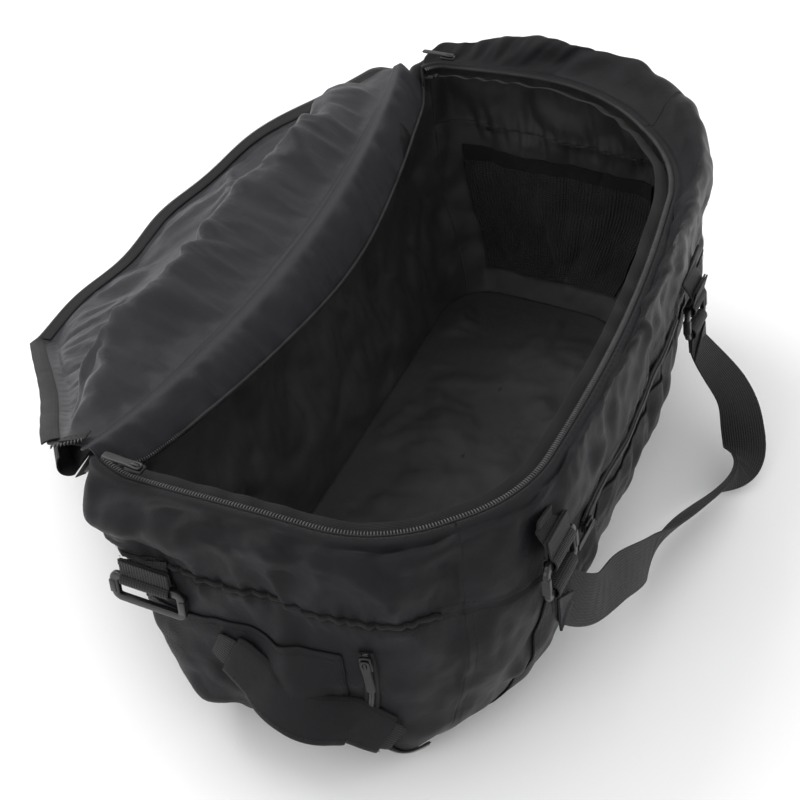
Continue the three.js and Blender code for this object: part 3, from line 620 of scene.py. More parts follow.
def relax(points, faces, pins, expand, frames, gravity, bending):
    """The cloth let go between its pins, with expand more cloth than the shape needs, so that it buckles."""
    obj = add_mesh("cloth", points, faces, None)
    group = obj.vertex_groups.new(name="pins")
    for index in np.nonzero(pins > 0.001)[0]:
        group.add([int(index)], float(pins[index]), "REPLACE")
    cloth = obj.modifiers.new("cloth", "CLOTH")
    use = cloth.settings
    use.quality = 6
    use.mass = 0.12
    use.air_damping = 1.5
    use.tension_stiffness = use.compression_stiffness = CLOTH_STIFFNESS
    use.shear_stiffness = CLOTH_STIFFNESS * 0.4
    use.bending_stiffness = bending
    use.tension_damping = use.compression_damping = 8
    use.bending_damping = 0.8
    use.vertex_group_mass = "pins"
    use.pin_stiffness = 1.0
    use.shrink_min = -expand
    use.effector_weights.gravity = gravity
    cloth.point_cache.frame_start = 1
    cloth.point_cache.frame_end = frames
    scene = bpy.context.scene
    for number in range(1, frames + 1):
        scene.frame_set(number)
    graph = bpy.context.evaluated_depsgraph_get()
    done = obj.evaluated_get(graph)
    out = np.empty(len(points) * 3)
    done.data.vertices.foreach_get("co", out)
    bpy.data.objects.remove(obj)
    scene.frame_set(1)
    return out.reshape(-1, 3)


grid, STATION, LEVEL = tub_base()
MIDDLE_NAMES = np.round(grid[0, :, 0] / CLOTH_PITCH).astype(int)
outward = normals_of(grid)
flat = grid.reshape(-1, 3)
unevenness = fractal(flat, 14.0, 3.0, 3).reshape(LEVEL.shape)
free = smoothstep(LEVEL, -0.02, 0.5) * (1 - smoothstep(LEVEL, 4.6, 4.95))
grid = grid + outward * (0.004 * unevenness * free)[..., None]
# metres run round the tub, and up it, at every point of the grid
ROUND = travelled(cad_tub(STATIONS, 3.0))[None] + 0 * LEVEL
RISE = travelled(cad_tub(0.5, LEVEL[:, 0].clip(0)))[:, None] + 0 * LEVEL


def folds_down(seed, pitch, stretch):
    """Longer folds that run down the walls from the gathered seam and from the zip."""
    points = np.stack([ROUND / pitch, LEVEL * stretch, LEVEL * 0], -1).reshape(-1, 3)
    return fractal(points, 1.0, seed, 3).reshape(LEVEL.shape)


# places where rings, handles and sliders are sewn on and hold the cloth flat: stations and levels
HELD = (
    (3.3, 2.5), (3.3, 2.0), (1.7, 2.5), (1.7, 2.0), (3.4, 1.9), (3.86, 1.2), (1.6, 1.9), (1.14, 1.2),
    (0.115, 3.1), (0.115, 2.5), (0.70, 2.9), (0.70, 2.3), (2.77, 2.8), (2.77, 2.3), (2.31, 2.8), (2.31, 2.3),
    (3.76, 2.3), (1.24, 2.3), (0.62, 2.62), (0.22, 2.62), (2.68, 3.9),
)


def metres_from(s, v):
    """How far round and how far up every point of the grid lies from a station and level."""
    whole = ROUND[0, -1]
    u0 = np.interp(s, STATIONS, ROUND[0])
    v0 = np.interp(v, LEVEL[:, 0], RISE[:, 0])
    return np.mod(ROUND - u0 + whole / 2, whole) - whole / 2, RISE - v0


def held_down(reach):
    """1 at the places that are held flat, fading to 0 over reach."""
    held = np.zeros(LEVEL.shape)
    for s, v in HELD:
        du, dv = metres_from(s, v)
        held = np.maximum(held, np.exp(-((np.hypot(du, dv) / reach) ** 2)))
    return held


def pulled_folds(count, start, finish, levels, reach, width, rise, slant):
    """Crested folds between two stations, leaning up to slant from upright: height over the cloth."""
    height = np.zeros(LEVEL.shape)
    for _ in range(count):
        s = rng.uniform(start, finish)
        v = rng.uniform(*levels)
        lean = rng.uniform(-slant, slant)
        length = rng.uniform(*reach) * (1 if rng.random() < 0.5 else -1)
        run = np.array((math.sin(lean), math.cos(lean))) * length
        du, dv = metres_from(s, v)
        t = np.clip((du * run[0] + dv * run[1]) / (length * length), 0, 1)
        apart = np.hypot(du - run[0] * t, dv - run[1] * t)
        wide = width * rng.uniform(0.7, 1.4)
        crest = rise * rng.uniform(0.4, 1.0) * np.exp(-((apart / wide) ** 1.25))
        height += crest * np.sin(math.pi * (0.12 + 0.88 * t)) ** 0.7
    return height


below = smoothstep(LEVEL, 0.4, 1.6) * (1 - smoothstep(LEVEL, GUSSET_SEAM - 0.12, GUSSET_SEAM))
above = smoothstep(LEVEL, GUSSET_SEAM, GUSSET_SEAM + 0.2) * (1 - smoothstep(LEVEL, 4.6, 4.95))
slow = 0.008 * folds_down(5.0, 0.050, 0.7) * below + 0.007 * folds_down(6.0, 0.042, 0.8) * above
grid = grid + outward * (slow * (1 - 0.8 * held_down(0.045)))[..., None]
# groups of crested folds: how many, between which stations and levels, length, width, height, lean
PULLS = (
    (26, 3.05, 3.95, (2.74, 2.86), (0.030, 0.085), 0.0062, 0.0075, 0.5),
    (22, 1.05, 1.95, (2.74, 2.86), (0.030, 0.080), 0.0062, 0.0070, 0.5),
    (16, 0.02, 0.98, (2.9, 4.6), (0.030, 0.070), 0.0060, 0.0050, 1.2),
    (14, 0.05, 0.95, (0.6, 2.3), (0.040, 0.090), 0.0085, 0.0060, 1.3),
    (14, 3.05, 3.95, (0.7, 2.2), (0.040, 0.090), 0.0085, 0.0065, 1.2),
    (12, 1.05, 1.95, (0.7, 2.2), (0.040, 0.090), 0.0085, 0.0060, 1.2),
    (14, 2.05, 2.95, (0.7, 4.2), (0.040, 0.090), 0.0085, 0.0060, 1.2),
)
pulls = sum(pulled_folds(*group) for group in PULLS)
grid = grid + outward * (pulls * free * (1 - 0.95 * held_down(0.045)))[..., None]
floor_free = smoothstep(-LEVEL, 0.03, 0.25)
floor_fold = np.maximum(fractal(flat * (1, 1, 0), 11.0, 8.0, 4), -0.1).reshape(LEVEL.shape)
grid[..., 2] += 0.010 * np.maximum(floor_fold, 0) * floor_free

pins = np.zeros(LEVEL.shape)
pins[LEVEL > 4.93] = 1.0
pins = np.maximum(pins, 0.35 * np.exp(-((LEVEL - GUSSET_SEAM) / 0.05) ** 2))
pins = np.maximum(pins, np.where(np.abs(LEVEL) < 0.06, 0.9, 0))
pins = np.maximum(pins, np.where(LEVEL < -0.03, 0.03, 0))
pins = np.maximum(pins, 0.7 * held_down(0.032) * (LEVEL > 0))
moved = relax(grid.reshape(-1, 3), grid_faces(*LEVEL.shape, True), pins.ravel(), 0.055, 24, 0.25, 0.12)
grid = moved.reshape(grid.shape)
grid[..., 2] = np.maximum(grid[..., 2], 0.0)
grid = welded(grid, MIDDLE_NAMES)
outward = normals_of(grid)
outward[0] = (0, 0, -1)

# seams pull in, with gathers beside them
GATHERS_PER_SIDE = 31
phase = 3 * fractal(flat, 6.0, 1.0, 2).reshape(LEVEL.shape)
gathers = np.sin(STATION * 2 * math.pi * GATHERS_PER_SIDE + phase)
beside = np.abs(LEVEL - GUSSET_SEAM) * 0.07
from_corner = 0.5 - np.abs(np.mod(STATION, 2) - 1.5)
share = 0.15 + 0.85 * np.where(np.mod(STATION, 2) > 1, smoothstep(from_corner, 0.0, 0.12), 0)
drawn_in = 0.0020 * gathers * np.exp(-(beside / 0.014) ** 2) - 0.0022 * np.exp(-(beside / 0.0025) ** 2)
grid += outward * (share * drawn_in)[..., None]
ripple = ridged(flat, 17.0, 2.0, 3).reshape(LEVEL.shape) - 1.0
slack = smoothstep(LEVEL, 0, 0.4) * (1 - smoothstep(LEVEL, 4.6, 4.95))
grid += outward * (0.0024 * ripple * slack)[..., None]
outward = normals_of(grid)
STATION_EDGE = np.concatenate([STATIONS, [4.0]])
LEVEL_LINE = LEVEL[:, 0]


def sample(field, s, v):
    """A field of the grid read at stations s and levels v."""
    s, v = np.broadcast_arrays(np.asarray(s, float), np.asarray(v, float))
    i = np.interp(np.mod(s, 4), STATION_EDGE, np.arange(len(STATION_EDGE)))
    j = np.interp(v, LEVEL_LINE, np.arange(len(LEVEL_LINE)))
    i0 = np.floor(i).astype(int)
    j0 = np.minimum(np.floor(j).astype(int), len(LEVEL_LINE) - 2)
    a, b = (i - i0)[..., None], (j - j0)[..., None]
    i1 = (i0 + 1) % len(STATIONS)
    i0 = i0 % len(STATIONS)
    low = field[j0, i0] * (1 - a) + field[j0, i1] * a
    high = field[j0 + 1, i0] * (1 - a) + field[j0 + 1, i1] * a
    return low * (1 - b) + high * b


def tub(s, v, lift=0.0):
    """Points on the tub's cloth, or lift above it."""
    return sample(grid, s, v) + sample(outward, s, v) * np.asarray(lift, float)[..., None]


def tub_normal(s, v):
    return unit(sample(outward, s, v))


def mouth_edge(s, inset):
    """The mouth's rim at stations s, inset from the wall."""
    return outline(LEVELS[MOUTH], s, inset) + corner_pull(s, np.full(len(s), float(MOUTH)))


# rows of the cloth's edge over the zip's tape: inset, rise, share of the pucker
WELT = ((0.0016, 0.0014, 0), (0.0040, 0.0019, 1), (0.0058, 0.0015, 1), (0.0072, 0.0002, 0))


def tub_panel(name, stations, levels, look, nodes, thick=SKIN, lift=0.0, welt=False, **finish):
    """Part of the tub's grid as a piece of its own. welt carries the cloth on over the zip's tape."""
    cols = STATION_EDGE[(STATION_EDGE > stations[0] + 1e-4) & (STATION_EDGE < stations[1] - 1e-4)]
    rows = LEVEL_LINE[(LEVEL_LINE > levels[0] + 1e-4) & (LEVEL_LINE < levels[1] - 1e-4)]
    cols = np.concatenate([[stations[0]], cols, [stations[1]]])
    rows = np.concatenate([[levels[0]], rows, [levels[1]]])
    lift = lift(cols[None], rows[:, None]) if callable(lift) else lift
    points = tub(cols[None], rows[:, None], lift)
    if welt:
        pucker = 0.0006 * np.sin(np.interp(cols, STATION_EDGE[:-1], ROUND[0]) * 2 * math.pi / 0.0085)
        over = []
        for inset, rise, share in WELT:
            row = mouth_edge(cols, inset) + (0, 0, rise)
            row[:, 2] += pucker * share
            over.append(row)
        points = np.concatenate([points, np.stack(over)])
    obj = grid_piece(name, points, look, "bag", thick, -1.0, **finish)
    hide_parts(*nodes)
    return obj


# ---------------------------------------------------------------- tub pieces
# one stitch: length, width, height, bend
STITCH, STITCH_PITCH = (0.0026, 0.0006, 0.0005, 0.0), 0.0036


def stitches(name, line, normals, body="bag", lift=0.0004):
    """Thread stitches lying along a line; normals point off the cloth."""
    at, ahead, up = resample(line, STITCH_PITCH, normals)
    across = np.cross(ahead, up)
    return placed_bars(name, at + up * lift, across, up, STITCH, THREAD, body, sides=4, steps=2)


def tub_line(s, v, lift=0.0, count=300):
    """A line on the tub's cloth through stations s and levels v, with its normals."""
    t = np.linspace(0, 1, count)
    s = np.interp(t, np.linspace(0, 1, len(s)), s) if hasattr(s, "__len__") else np.full(count, s)
    v = np.interp(t, np.linspace(0, 1, len(v)), v) if hasattr(v, "__len__") else np.full(count, v)
    return tub(s, v, lift), tub_normal(s, v)


def tub_stitches(name, s, v, lift=0.0004):
    """A row of stitches on the tub's cloth."""
    line, normals = tub_line(s, v)
    return stitches(name, line, normals, "bag", lift)


for side, name in enumerate(("front", "far_end", "back", "near_end")):
    top = MOUTH if name == "back" else GUSSET_SEAM
    panel = tub_panel(f"{name}_wall", (side, side + 1), (0, top), NYLON, [f"{name}_panel"], lining=INNER)
for name, side in (("front", 0), ("far", 1), ("near", 3)):
    levels = (GUSSET_SEAM, MOUTH)
    nodes = [f"{name}_top_gusset"]
    panel = tub_panel(f"{name}_gusset", (side, side + 1), levels, NYLON, nodes, welt=True, lining=INNER)
floor = tub_panel("bottom_cloth", (0, 4), (-1, 0), INNER, ["bottom_panel"], smoother=0, weld=True)

for index, side in enumerate((0, 1, 3)):
    for row, level in enumerate((GUSSET_SEAM - 0.07, GUSSET_SEAM + 0.08)):
        tub_stitches(f"gusset_stitches_{index}_{row}", (side, side + 1), level)
for corner in (0, 1, 2, 3):
    tub_stitches(f"corner_stitches_{corner}", corner + 0.012, (0.1, GUSSET_SEAM - 0.1))


# ---------------------------------------------------------------- mouth: rolled edge, tape, coil, binding
def mouth_line(inset, drop=0.0):
    """A line round the open sides of the mouth, from one end of the hinge to the other."""
    line = mouth_edge(np.linspace(3.04, 5.96, 700), inset)
    line[:, 2] -= drop
    return line


def frames_at(line, normals):
    """Side and up directions along a line, for normals or one normal."""
    ahead = unit(np.gradient(line, axis=0))
    side = unit(np.cross(ahead, np.broadcast_to(np.asarray(normals, float), line.shape)))
    return side, unit(np.cross(side, ahead))


COIL_PITCH = 0.0022


def coil_teeth(name, line, up, nodes=(), body="bag", width=0.0048):
    """One half of an open zip's coil."""
    normals = np.broadcast_to(np.asarray(up, float), line.shape)
    at, ahead, normal = resample(line, COIL_PITCH, normals)
    size = (width, COIL_PITCH * 0.50, 0.0021, 0.0005)
    teeth = placed_bars(name, at, ahead, normal, size, COIL, body, sides=6, steps=4)
    if nodes:
        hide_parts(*nodes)
    return teeth


UPRIGHT = (0, 0, 1.0)
tape_line = mouth_line(0.0056, 0.0010)
side, up = frames_at(tape_line, UPRIGHT)
tape = sweep("mouth_tape", tape_line, side, up, rounded_section(0.0086, 0.0008), BINDING, "bag")
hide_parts("mouth_zip_tape")
coil_teeth("mouth_coil", mouth_line(COIL_INSET, -0.0002), UPRIGHT, ["mouth_zip_coil"])
cord_line = mouth_line(COIL_INSET - 0.0022, -0.0004)
side, up = frames_at(cord_line, UPRIGHT)
sweep("mouth_coil_cord", cord_line, side, up, circle_section(0.0009, 6), BINDING, "bag")
hang_line = mouth_line(0.0172, 0.0052)
side, up = frames_at(hang_line, UPRIGHT)
wave = 0.0010 * np.sin(np.linspace(0, 190, len(hang_line)) + 2 * np.sin(np.linspace(0, 37, len(hang_line))))
side, up = unit(side - 0.42 * up), unit(up + 0.42 * side)
section = rounded_section(0.0125, 0.0010)
inner = sweep("mouth_inner_binding", hang_line + up * wave[:, None], side, up, section, BINDING, "bag")
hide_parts("mouth_binding")
line = mouth_line(0.0046, -0.0020)
stitches("mouth_stitches", line, np.tile(UPRIGHT, (len(line), 1)), "bag", 0.0004)
stitches("mouth_binding_stitches", hang_line + side * 0.0035 + up * 0.0008, up, "bag", 0.0003)

# ---------------------------------------------------------------- end piping
for name, start in (("far_end", 1), ("near_end", 3)):
    line, _ = tub_line((start + 0.05, start + 0.95), GUSSET_SEAM, 0.0012)
    side, up = frames_at(line, UPRIGHT)
    piping = sweep(f"{name}_seam_piping", line, side, up, circle_section(0.0021, 8), BINDING, "bag")
    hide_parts(f"{name}_piping")


# ---------------------------------------------------------------- pockets and their zips
def pocket(name, stations, levels, rise, seed):
    """A skin sewn on the wall round its edge and slack inside it."""
    (s0, s1), (v0, v1) = stations, levels

    def lift(s, v):
        s, v = np.broadcast_arrays(s, v)
        across = np.minimum(s - s0, s1 - s) * 0.5
        down = np.minimum(v - v0, v1 - v) * 0.06
        slack = smoothstep(np.minimum(across, down), 0, 0.02)
        points = np.stack([s * 0.5, v * 0.06, np.zeros(s.shape)], -1).reshape(-1, 3)
        fold = fractal(points, 16.0, seed, 3).reshape(s.shape)
        crease = ridged(points, 24.0, seed, 3).reshape(s.shape) - 1
        return 0.0013 + slack * (rise + 0.0022 * fold + 0.0012 * crease)

    panel = tub_panel(f"{name}_pocket_skin", stations, levels, NYLON, [f"{name}_pocket_panel"], 0.0009, lift)
    line, normals = tub_line((s0, s1, s1, s0, s0), (v0, v0, v1, v1, v0), 0.0013, 900)
    corner = np.linspace(0, 4, len(line))
    keep = np.abs(corner - np.round(corner)) > 0.002
    side, up = frames_at(line[keep], normals[keep])
    section = rounded_section(0.0016, 0.0016, 2)
    border = sweep(f"{name}_pocket_border", line[keep], side, up, section, NYLON, "bag")
    inset_s, inset_v = 0.008, 0.08
    tub_stitches(f"{name}_pocket_stitches_top", (s0 + inset_s, s1 - inset_s), v1 - inset_v, 0.0024)
    tub_stitches(f"{name}_pocket_stitches_a", s0 + inset_s, (v0 + inset_v, v1 - inset_v), 0.0024)
    tub_stitches(f"{name}_pocket_stitches_b", s1 - inset_s, (v0 + inset_v, v1 - inset_v), 0.0024)


def softened(values, span):
    """Each column averaged over span rows."""
    padded = np.pad(values, ((span // 2, span // 2), (0, 0)), "edge")
    return np.stack([np.convolve(column, np.ones(span) / span, "valid") for column in padded.T], -1)


def pocket_zip(name, s, v, count=260):
    """A closed zip on the cloth: tape, two lips of cloth, the chain of teeth."""
    line, normals = tub_line(s, v, 0.0, count)
    line, normals = softened(softened(line, 31), 31), unit(softened(normals, 31))
    side, up = frames_at(line, normals)
    section = rounded_section(0.0115, 0.0008)
    tape = sweep(f"{name}_zip_tape", line + up * 0.0012, side, up, section, BINDING, "bag")
    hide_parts(f"{name}_pocket_zip")
    for end, way in (("a", -1), ("b", 1)):
        lip = line + side * way * 0.0040 + up * 0.0018
        sweep(f"{name}_zip_lip_{end}", lip, side, up, rounded_section(0.0030, 0.0012), NYLON, "bag")
        stitches(f"{name}_zip_stitches_{end}", lip + side * way * 0.0004, up, "bag", 0.0006)
        at, ahead, normal = resample(line + up * 0.0026 + side * way * 0.0009, 0.0017, up)
        at = at + ahead * (0.00042 * way)
        size = (0.0024, 0.0010, 0.0016, 0.0004)
        teeth = placed_bars(f"{name}_chain_{end}", at, ahead, normal, size, COIL, "bag", sides=5, steps=3)


pocket("front", (0.12, 0.86), (0.3, 2.38), 0.0030, 1.0)
pocket("back", (2.37, 2.71), (0.5, 3.1), 0.0024, 2.0)
pocket("near", (3.15, 3.69), (0.35, 2.25), 0.0030, 3.0)
pocket("far", (1.31, 1.85), (0.35, 2.25), 0.0030, 4.0)
pocket_zip("front", FRONT_ZIP_SPAN, FRONT_ZIP_LEVEL)
pocket_zip("back", BACK_ZIP_SPAN, BACK_ZIP_LEVEL)
END_ZIP_LEVELS = (2.5, 1.9, 1.3, 0.85, 0.62, 0.55)
pocket_zip("near", (3.76, 3.76, 3.76, 3.79, 3.86, 3.97), END_ZIP_LEVELS, 200)
pocket_zip("far", (1.24, 1.24, 1.24, 1.21, 1.14, 1.03), END_ZIP_LEVELS, 200)

# ---------------------------------------------------------------- inside: mesh pocket, hinge binding
MESH_SPAN = (1.2, 1.8)
# name, stations, levels, material, slot, thickness, lift, node
INSIDE_PIECES = (
    ("inner_mesh_pocket", MESH_SPAN, (0.6, 2.3), MESH_CLOTH, "mesh", 0.0006, -0.005, "mesh_pocket"),
    ("inner_mesh_binding", MESH_SPAN, (2.28, 2.5), BINDING, "binding", 0.0014, -0.004, "mesh_pocket_binding"),
    ("hinge_inner_tape", (2.04, 2.96), (4.55, 4.99), BINDING, "binding", 0.0009, -0.0021, "hinge_binding"),
)
for name, stations, levels, look, slot, thick, lift, node_name in INSIDE_PIECES:
    tub_panel(name, stations, levels, look, [node_name], thick, lift)


# ---------------------------------------------------------------- lid, in its own plane at first
def turn(axis, angle):
    """The matrix of a turn about an axis."""
    x, y, z = unit(axis)
    c, s = math.cos(angle), math.sin(angle)
    cross = np.array([[0, -z, y], [z, 0, -x], [-y, x, 0]])
    return np.eye(3) * c + s * cross + (1 - c) * np.outer((x, y, z), (x, y, z))


LID_TURN = turn((0, 1, 0), -LID_TILT) @ turn((1, 0, 0), -LID_DROOP)
LID_AT = np.array((0, HINGE_Y, HINGE_Z))
HINGE_LOW, HINGE_HIGH = -0.285, 0.285


def hinge_hang(x):
    """How far the middle of the hinge hangs inwards, as a world offset."""
    t = np.clip((np.asarray(x) - HINGE_LOW) / (HINGE_HIGH - HINGE_LOW), 0, 1)
    return (np.abs(np.sin(math.pi * t)) ** 0.8)[..., None] * HINGE_HANG


def lid_world(points):
    """Points of the lid's own plane, in the row frame, hanging with the hinge."""
    points = np.asarray(points, float)
    near = 1 - smoothstep(points[..., 1], 0.0, 0.040)
    return points @ LID_TURN.T + LID_AT + hinge_hang(points[..., 0]) * near[..., None]


def lid_edge(stations, inset, room=0.012):
    """The lid's outline at stations of the mouth; round the back corners it runs on to the hinge."""
    stations = np.mod(np.asarray(stations, float), 4)
    points = outline(LEVELS[MOUTH], stations, inset)
    points = np.stack([points[:, 0] / math.cos(LID_TILT), HINGE_Y - points[:, 1], np.zeros(len(points))], -1)
    side = np.floor(stations).astype(int)
    part = stations - side
    past_near = np.where(side == 3, 1 - part / SHORT_CORNER, 0)
    past = np.clip(np.where(side == 1, (part - 1 + SHORT_CORNER) / SHORT_CORNER, past_near), 0, 1)
    points[:, 1] += (room - points[:, 1]) * past**2
    return points


CLOTH_INSET = LID_INSET + 0.003
fold_from, fold_to = lid_edge([FOLD_START], CLOTH_INSET)[0], lid_edge([FOLD_END], CLOTH_INSET)[0]
fold_along = unit(fold_to - fold_from)
fold_side = np.array((fold_along[1], -fold_along[0], 0))
fold_middle = (fold_from + fold_to) / 2


def beyond_fold(points):
    """Distance past the fold line, positive on the corner's side."""
    return -(points - fold_from) @ fold_side


FAR_OFF = 9.0


def filled(loop, pitch):
    """Triangles that fill a flat loop, their points pitch apart."""
    low, high = loop.min(0), loop.max(0)
    rows = np.arange(low[1] + pitch, high[1], pitch * 0.87)
    inner = []
    for index, y in enumerate(rows):
        for x in np.arange(low[0] + pitch * (0.5 if index % 2 else 1.0), high[0], pitch):
            inner.append((x, y))
    inner = np.array(inner)
    crossings = np.zeros(len(inner), int)
    distance = np.full(len(inner), FAR_OFF)
    for (ax, ay), (bx, by) in zip(loop, np.roll(loop, -1, 0)):
        spans = (ay > inner[:, 1]) != (by > inner[:, 1])
        at = ax + (inner[:, 1] - ay) * (bx - ax) / (by - ay + 1e-12)
        crossings += spans & (inner[:, 0] < at)
        edge = np.array((bx - ax, by - ay))
        t = np.clip(((inner - (ax, ay)) @ edge) / max(edge @ edge, 1e-12), 0, 1)
        distance = np.minimum(distance, np.linalg.norm(inner - (ax, ay) - t[:, None] * edge, axis=1))
    inner = inner[(crossings % 2 == 1) & (distance > pitch * 0.55)]
    points = [Vector(p) for p in np.concatenate([loop, inner])]
    border = [(i, (i + 1) % len(loop)) for i in range(len(loop))]
    out, _, faces, *_ = delaunay_2d_cdt(points, border, [], 1, 1e-7)
    return np.array([(*p, 0.0) for p in out]), [list(f) for f in faces]


def even_loop(points, pitch):
    """Points about pitch apart along a line."""
    length = travelled(points)
    t = np.linspace(0, length[-1], int(length[-1] / pitch) + 1)
    return np.stack([np.interp(t, length, points[:, k]) for k in range(points.shape[1])], -1)


LID_PITCH = 0.0044
FOLD_TRIM = 0.003


def between(*stops):
    """Points along straight stretches, without the two ends."""
    return even_loop(np.array(stops), LID_PITCH)[1:-1]


far_run = lid_edge(np.linspace(1.985, FOLD_END + 0.012, 300), CLOTH_INSET, 0.004)
near_run = lid_edge(np.linspace(FOLD_START - 0.012, 3.015, 60), CLOTH_INSET, 0.004)
before_fold = fold_side * FOLD_TRIM
lid_loop = np.concatenate([
    even_loop(far_run, LID_PITCH),
    between(far_run[-1], fold_to + before_fold, fold_from + before_fold, near_run[0]),
    even_loop(near_run, LID_PITCH),
    between(near_run[-1], far_run[0]),
])
lid_points, lid_faces = filled(lid_loop[:, :2], LID_PITCH)


def edge_wave(points):
    """How the lid's zip edge waves up and down, in metres, by place."""
    x, y = points[..., 0], points[..., 1]
    return 0.0035 * np.sin(17 * x + 9 * y) + 0.0022 * np.sin(41 * x - 23 * y + 1.3)


RIM_RISE, RIM_WIDE = 0.010, 0.017


def rim(distance, hinge_distance):
    """How far the lid's zip edge stands up, by the distance in from it and from the hinge."""
    return RIM_RISE * (1 - smoothstep(distance, -0.002, RIM_WIDE)) * smoothstep(hinge_distance, 0.012, 0.05)


# crested folds of the lid: stops of (x, distance from the hinge), width, height
LONG_RIDGE = ((0.25, 0.070), (0.17, 0.058), (0.09, 0.050), (0.0, 0.046), (-0.07, 0.040), (-0.15, 0.044))
LID_RIDGES = (
    (LONG_RIDGE, 0.011, 0.010),
    (((0.02, 0.010), (-0.03, 0.026), (-0.06, 0.042)), 0.008, 0.009),
    (((-0.08, 0.006), (-0.12, 0.034), (-0.16, 0.062), (-0.20, 0.075)), 0.009, 0.011),
    (((-0.17, 0.055), (-0.20, 0.080), (-0.24, 0.085)), 0.009, 0.010),
    (((0.22, 0.22), (0.12, 0.16), (0.02, 0.13), (-0.08, 0.115)), 0.016, 0.007),
    (((0.10, 0.012), (0.12, 0.030), (0.17, 0.045)), 0.007, 0.007),
    (((-0.02, 0.040), (-0.05, 0.075), (-0.10, 0.10)), 0.008, 0.008),
    (((0.16, 0.050), (0.13, 0.085), (0.06, 0.10)), 0.009, 0.008),
    (((-0.22, 0.020), (-0.19, 0.045), (-0.15, 0.052)), 0.007, 0.008),
)


def ridge(points, stops, width, rise):
    """A crested fold along a line of (x, w) stops, in the lid's plane."""
    line = spline(np.array([(*stop, 0.0) for stop in stops]), 60)[:, :2]
    apart = np.min(np.linalg.norm(points[:, None, :2] - line[None], axis=2), axis=1)
    return rise * np.exp(-((apart / width) ** 1.35))


# distance in from the lid's zip edge, and x and w, the distance from the hinge, at every point
distance_in = np.full(len(lid_points), FAR_OFF)
for point in even_loop(np.concatenate([far_run, near_run]), 0.004):
    distance_in = np.minimum(distance_in, np.linalg.norm(lid_points - point, axis=1))
x, w = lid_points[:, 0], lid_points[:, 1]
inside = smoothstep(distance_in, 0.008, 0.05)
# a roll of cloth beside the hinge, then the ridges, slanting creases and a dip in the middle
roll_at = 0.045 + 0.016 * fractal(np.stack([x, w * 0, w * 0], -1), 9.0, 4.0, 2)
roll = 0.020 * np.exp(-((w - roll_at) / 0.024) ** 2)
for stops, wide, rise in LID_RIDGES:
    roll = roll + ridge(lid_points, stops, wide, rise)
slanted = np.stack([x + w * 0.9, (w - x * 0.5) * 0.35, np.zeros(len(x))], -1)
creases = fractal(slanted, 16.0, 6.0, 3)
tray = smoothstep(distance_in, 0.012, 0.075) * smoothstep(w, 0.06, 0.12)
height = inside * (roll + 0.009 * creases) - 0.010 * tray + edge_wave(lid_points) * (1 - inside * 0.5)
lid_points[:, 2] = height * smoothstep(w, 0.012, 0.034) + rim(distance_in, w)
lid_cloth = lid_world(lid_points)
held = (distance_in < 0.0135) | (w < 0.0125) | (np.abs(beyond_fold(lid_points)) < 0.010)
pins = np.where(held, 1.0, 0.02)
lid_cloth = relax(lid_cloth, lid_faces, pins, 0.022, 16, 0.0, 0.15)
lid_up = LID_TURN[:, 2]
crests = 0.0026 * (ridged(lid_cloth, 15.0, 4.0, 3) - 1)
crests *= smoothstep(distance_in, 0.01, 0.03) * smoothstep(w, 0.012, 0.03)
lid_cloth = lid_cloth + lid_up * crests[:, None]
# the cloth stays clear of the corner turned under it and of the back wall
lid_plane = lid_world(lid_points * (1, 1, 0))
sag = (lid_cloth - lid_plane) @ lid_up
least = 0.003 * smoothstep(w, 0.014, 0.030) - 0.013 * smoothstep(w, 0.055, 0.11)
lid_cloth += lid_up * (np.maximum(sag, least + 0.15 * (sag - least)) - sag)[:, None]
lid_piece = add_mesh("lid_cloth", lid_cloth, lid_faces, COATED, None, lid_points[:, :2])
thicken(lid_piece, 0.0010, -1)
soften(lid_piece)
apply_modifiers(lid_piece)
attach(lid_piece, "lid")
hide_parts("lid_panel")


def lid_strip(name, stations, inset, width, lift, nodes=()):
    """Tape along the lid's zip edge, tilted up with the rim."""
    line = lid_edge(stations, inset)
    line[:, 2] += edge_wave(line) * smoothstep(line[:, 1], 0.0, 0.02)
    borders, heights = [], []
    for shift in (-width / 2, width / 2):
        border = lid_edge(stations, inset + shift)
        rise = rim(inset + shift - CLOTH_INSET, border[:, 1])
        border[:, 2] += rise
        borders.append(lid_world(border))
        heights.append(rise)
    line[:, 2] += sum(heights) / 2
    line = lid_world(line)
    side, _ = frames_at(line, lid_up)
    tilted = unit(borders[1] - borders[0])
    tilted *= np.sign(np.sum(tilted * side, 1))[:, None]
    ahead = unit(np.gradient(line, axis=0))
    side = unit(tilted - ahead * np.sum(tilted * ahead, 1, keepdims=True))
    up = unit(np.cross(side, ahead))
    line = line + up * lift
    strip = sweep(name, line, side, up, rounded_section(width, TAPE_THICK), BINDING, "lid")
    if nodes:
        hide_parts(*nodes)
    return line, side, up


def lid_coil_line(stations):
    """Where the lid's half of the coil runs, on the raised rim."""
    line = lid_edge(stations, LID_INSET)
    line[:, 2] += edge_wave(line) + rim(0.0, line[:, 1])
    return lid_world(line)


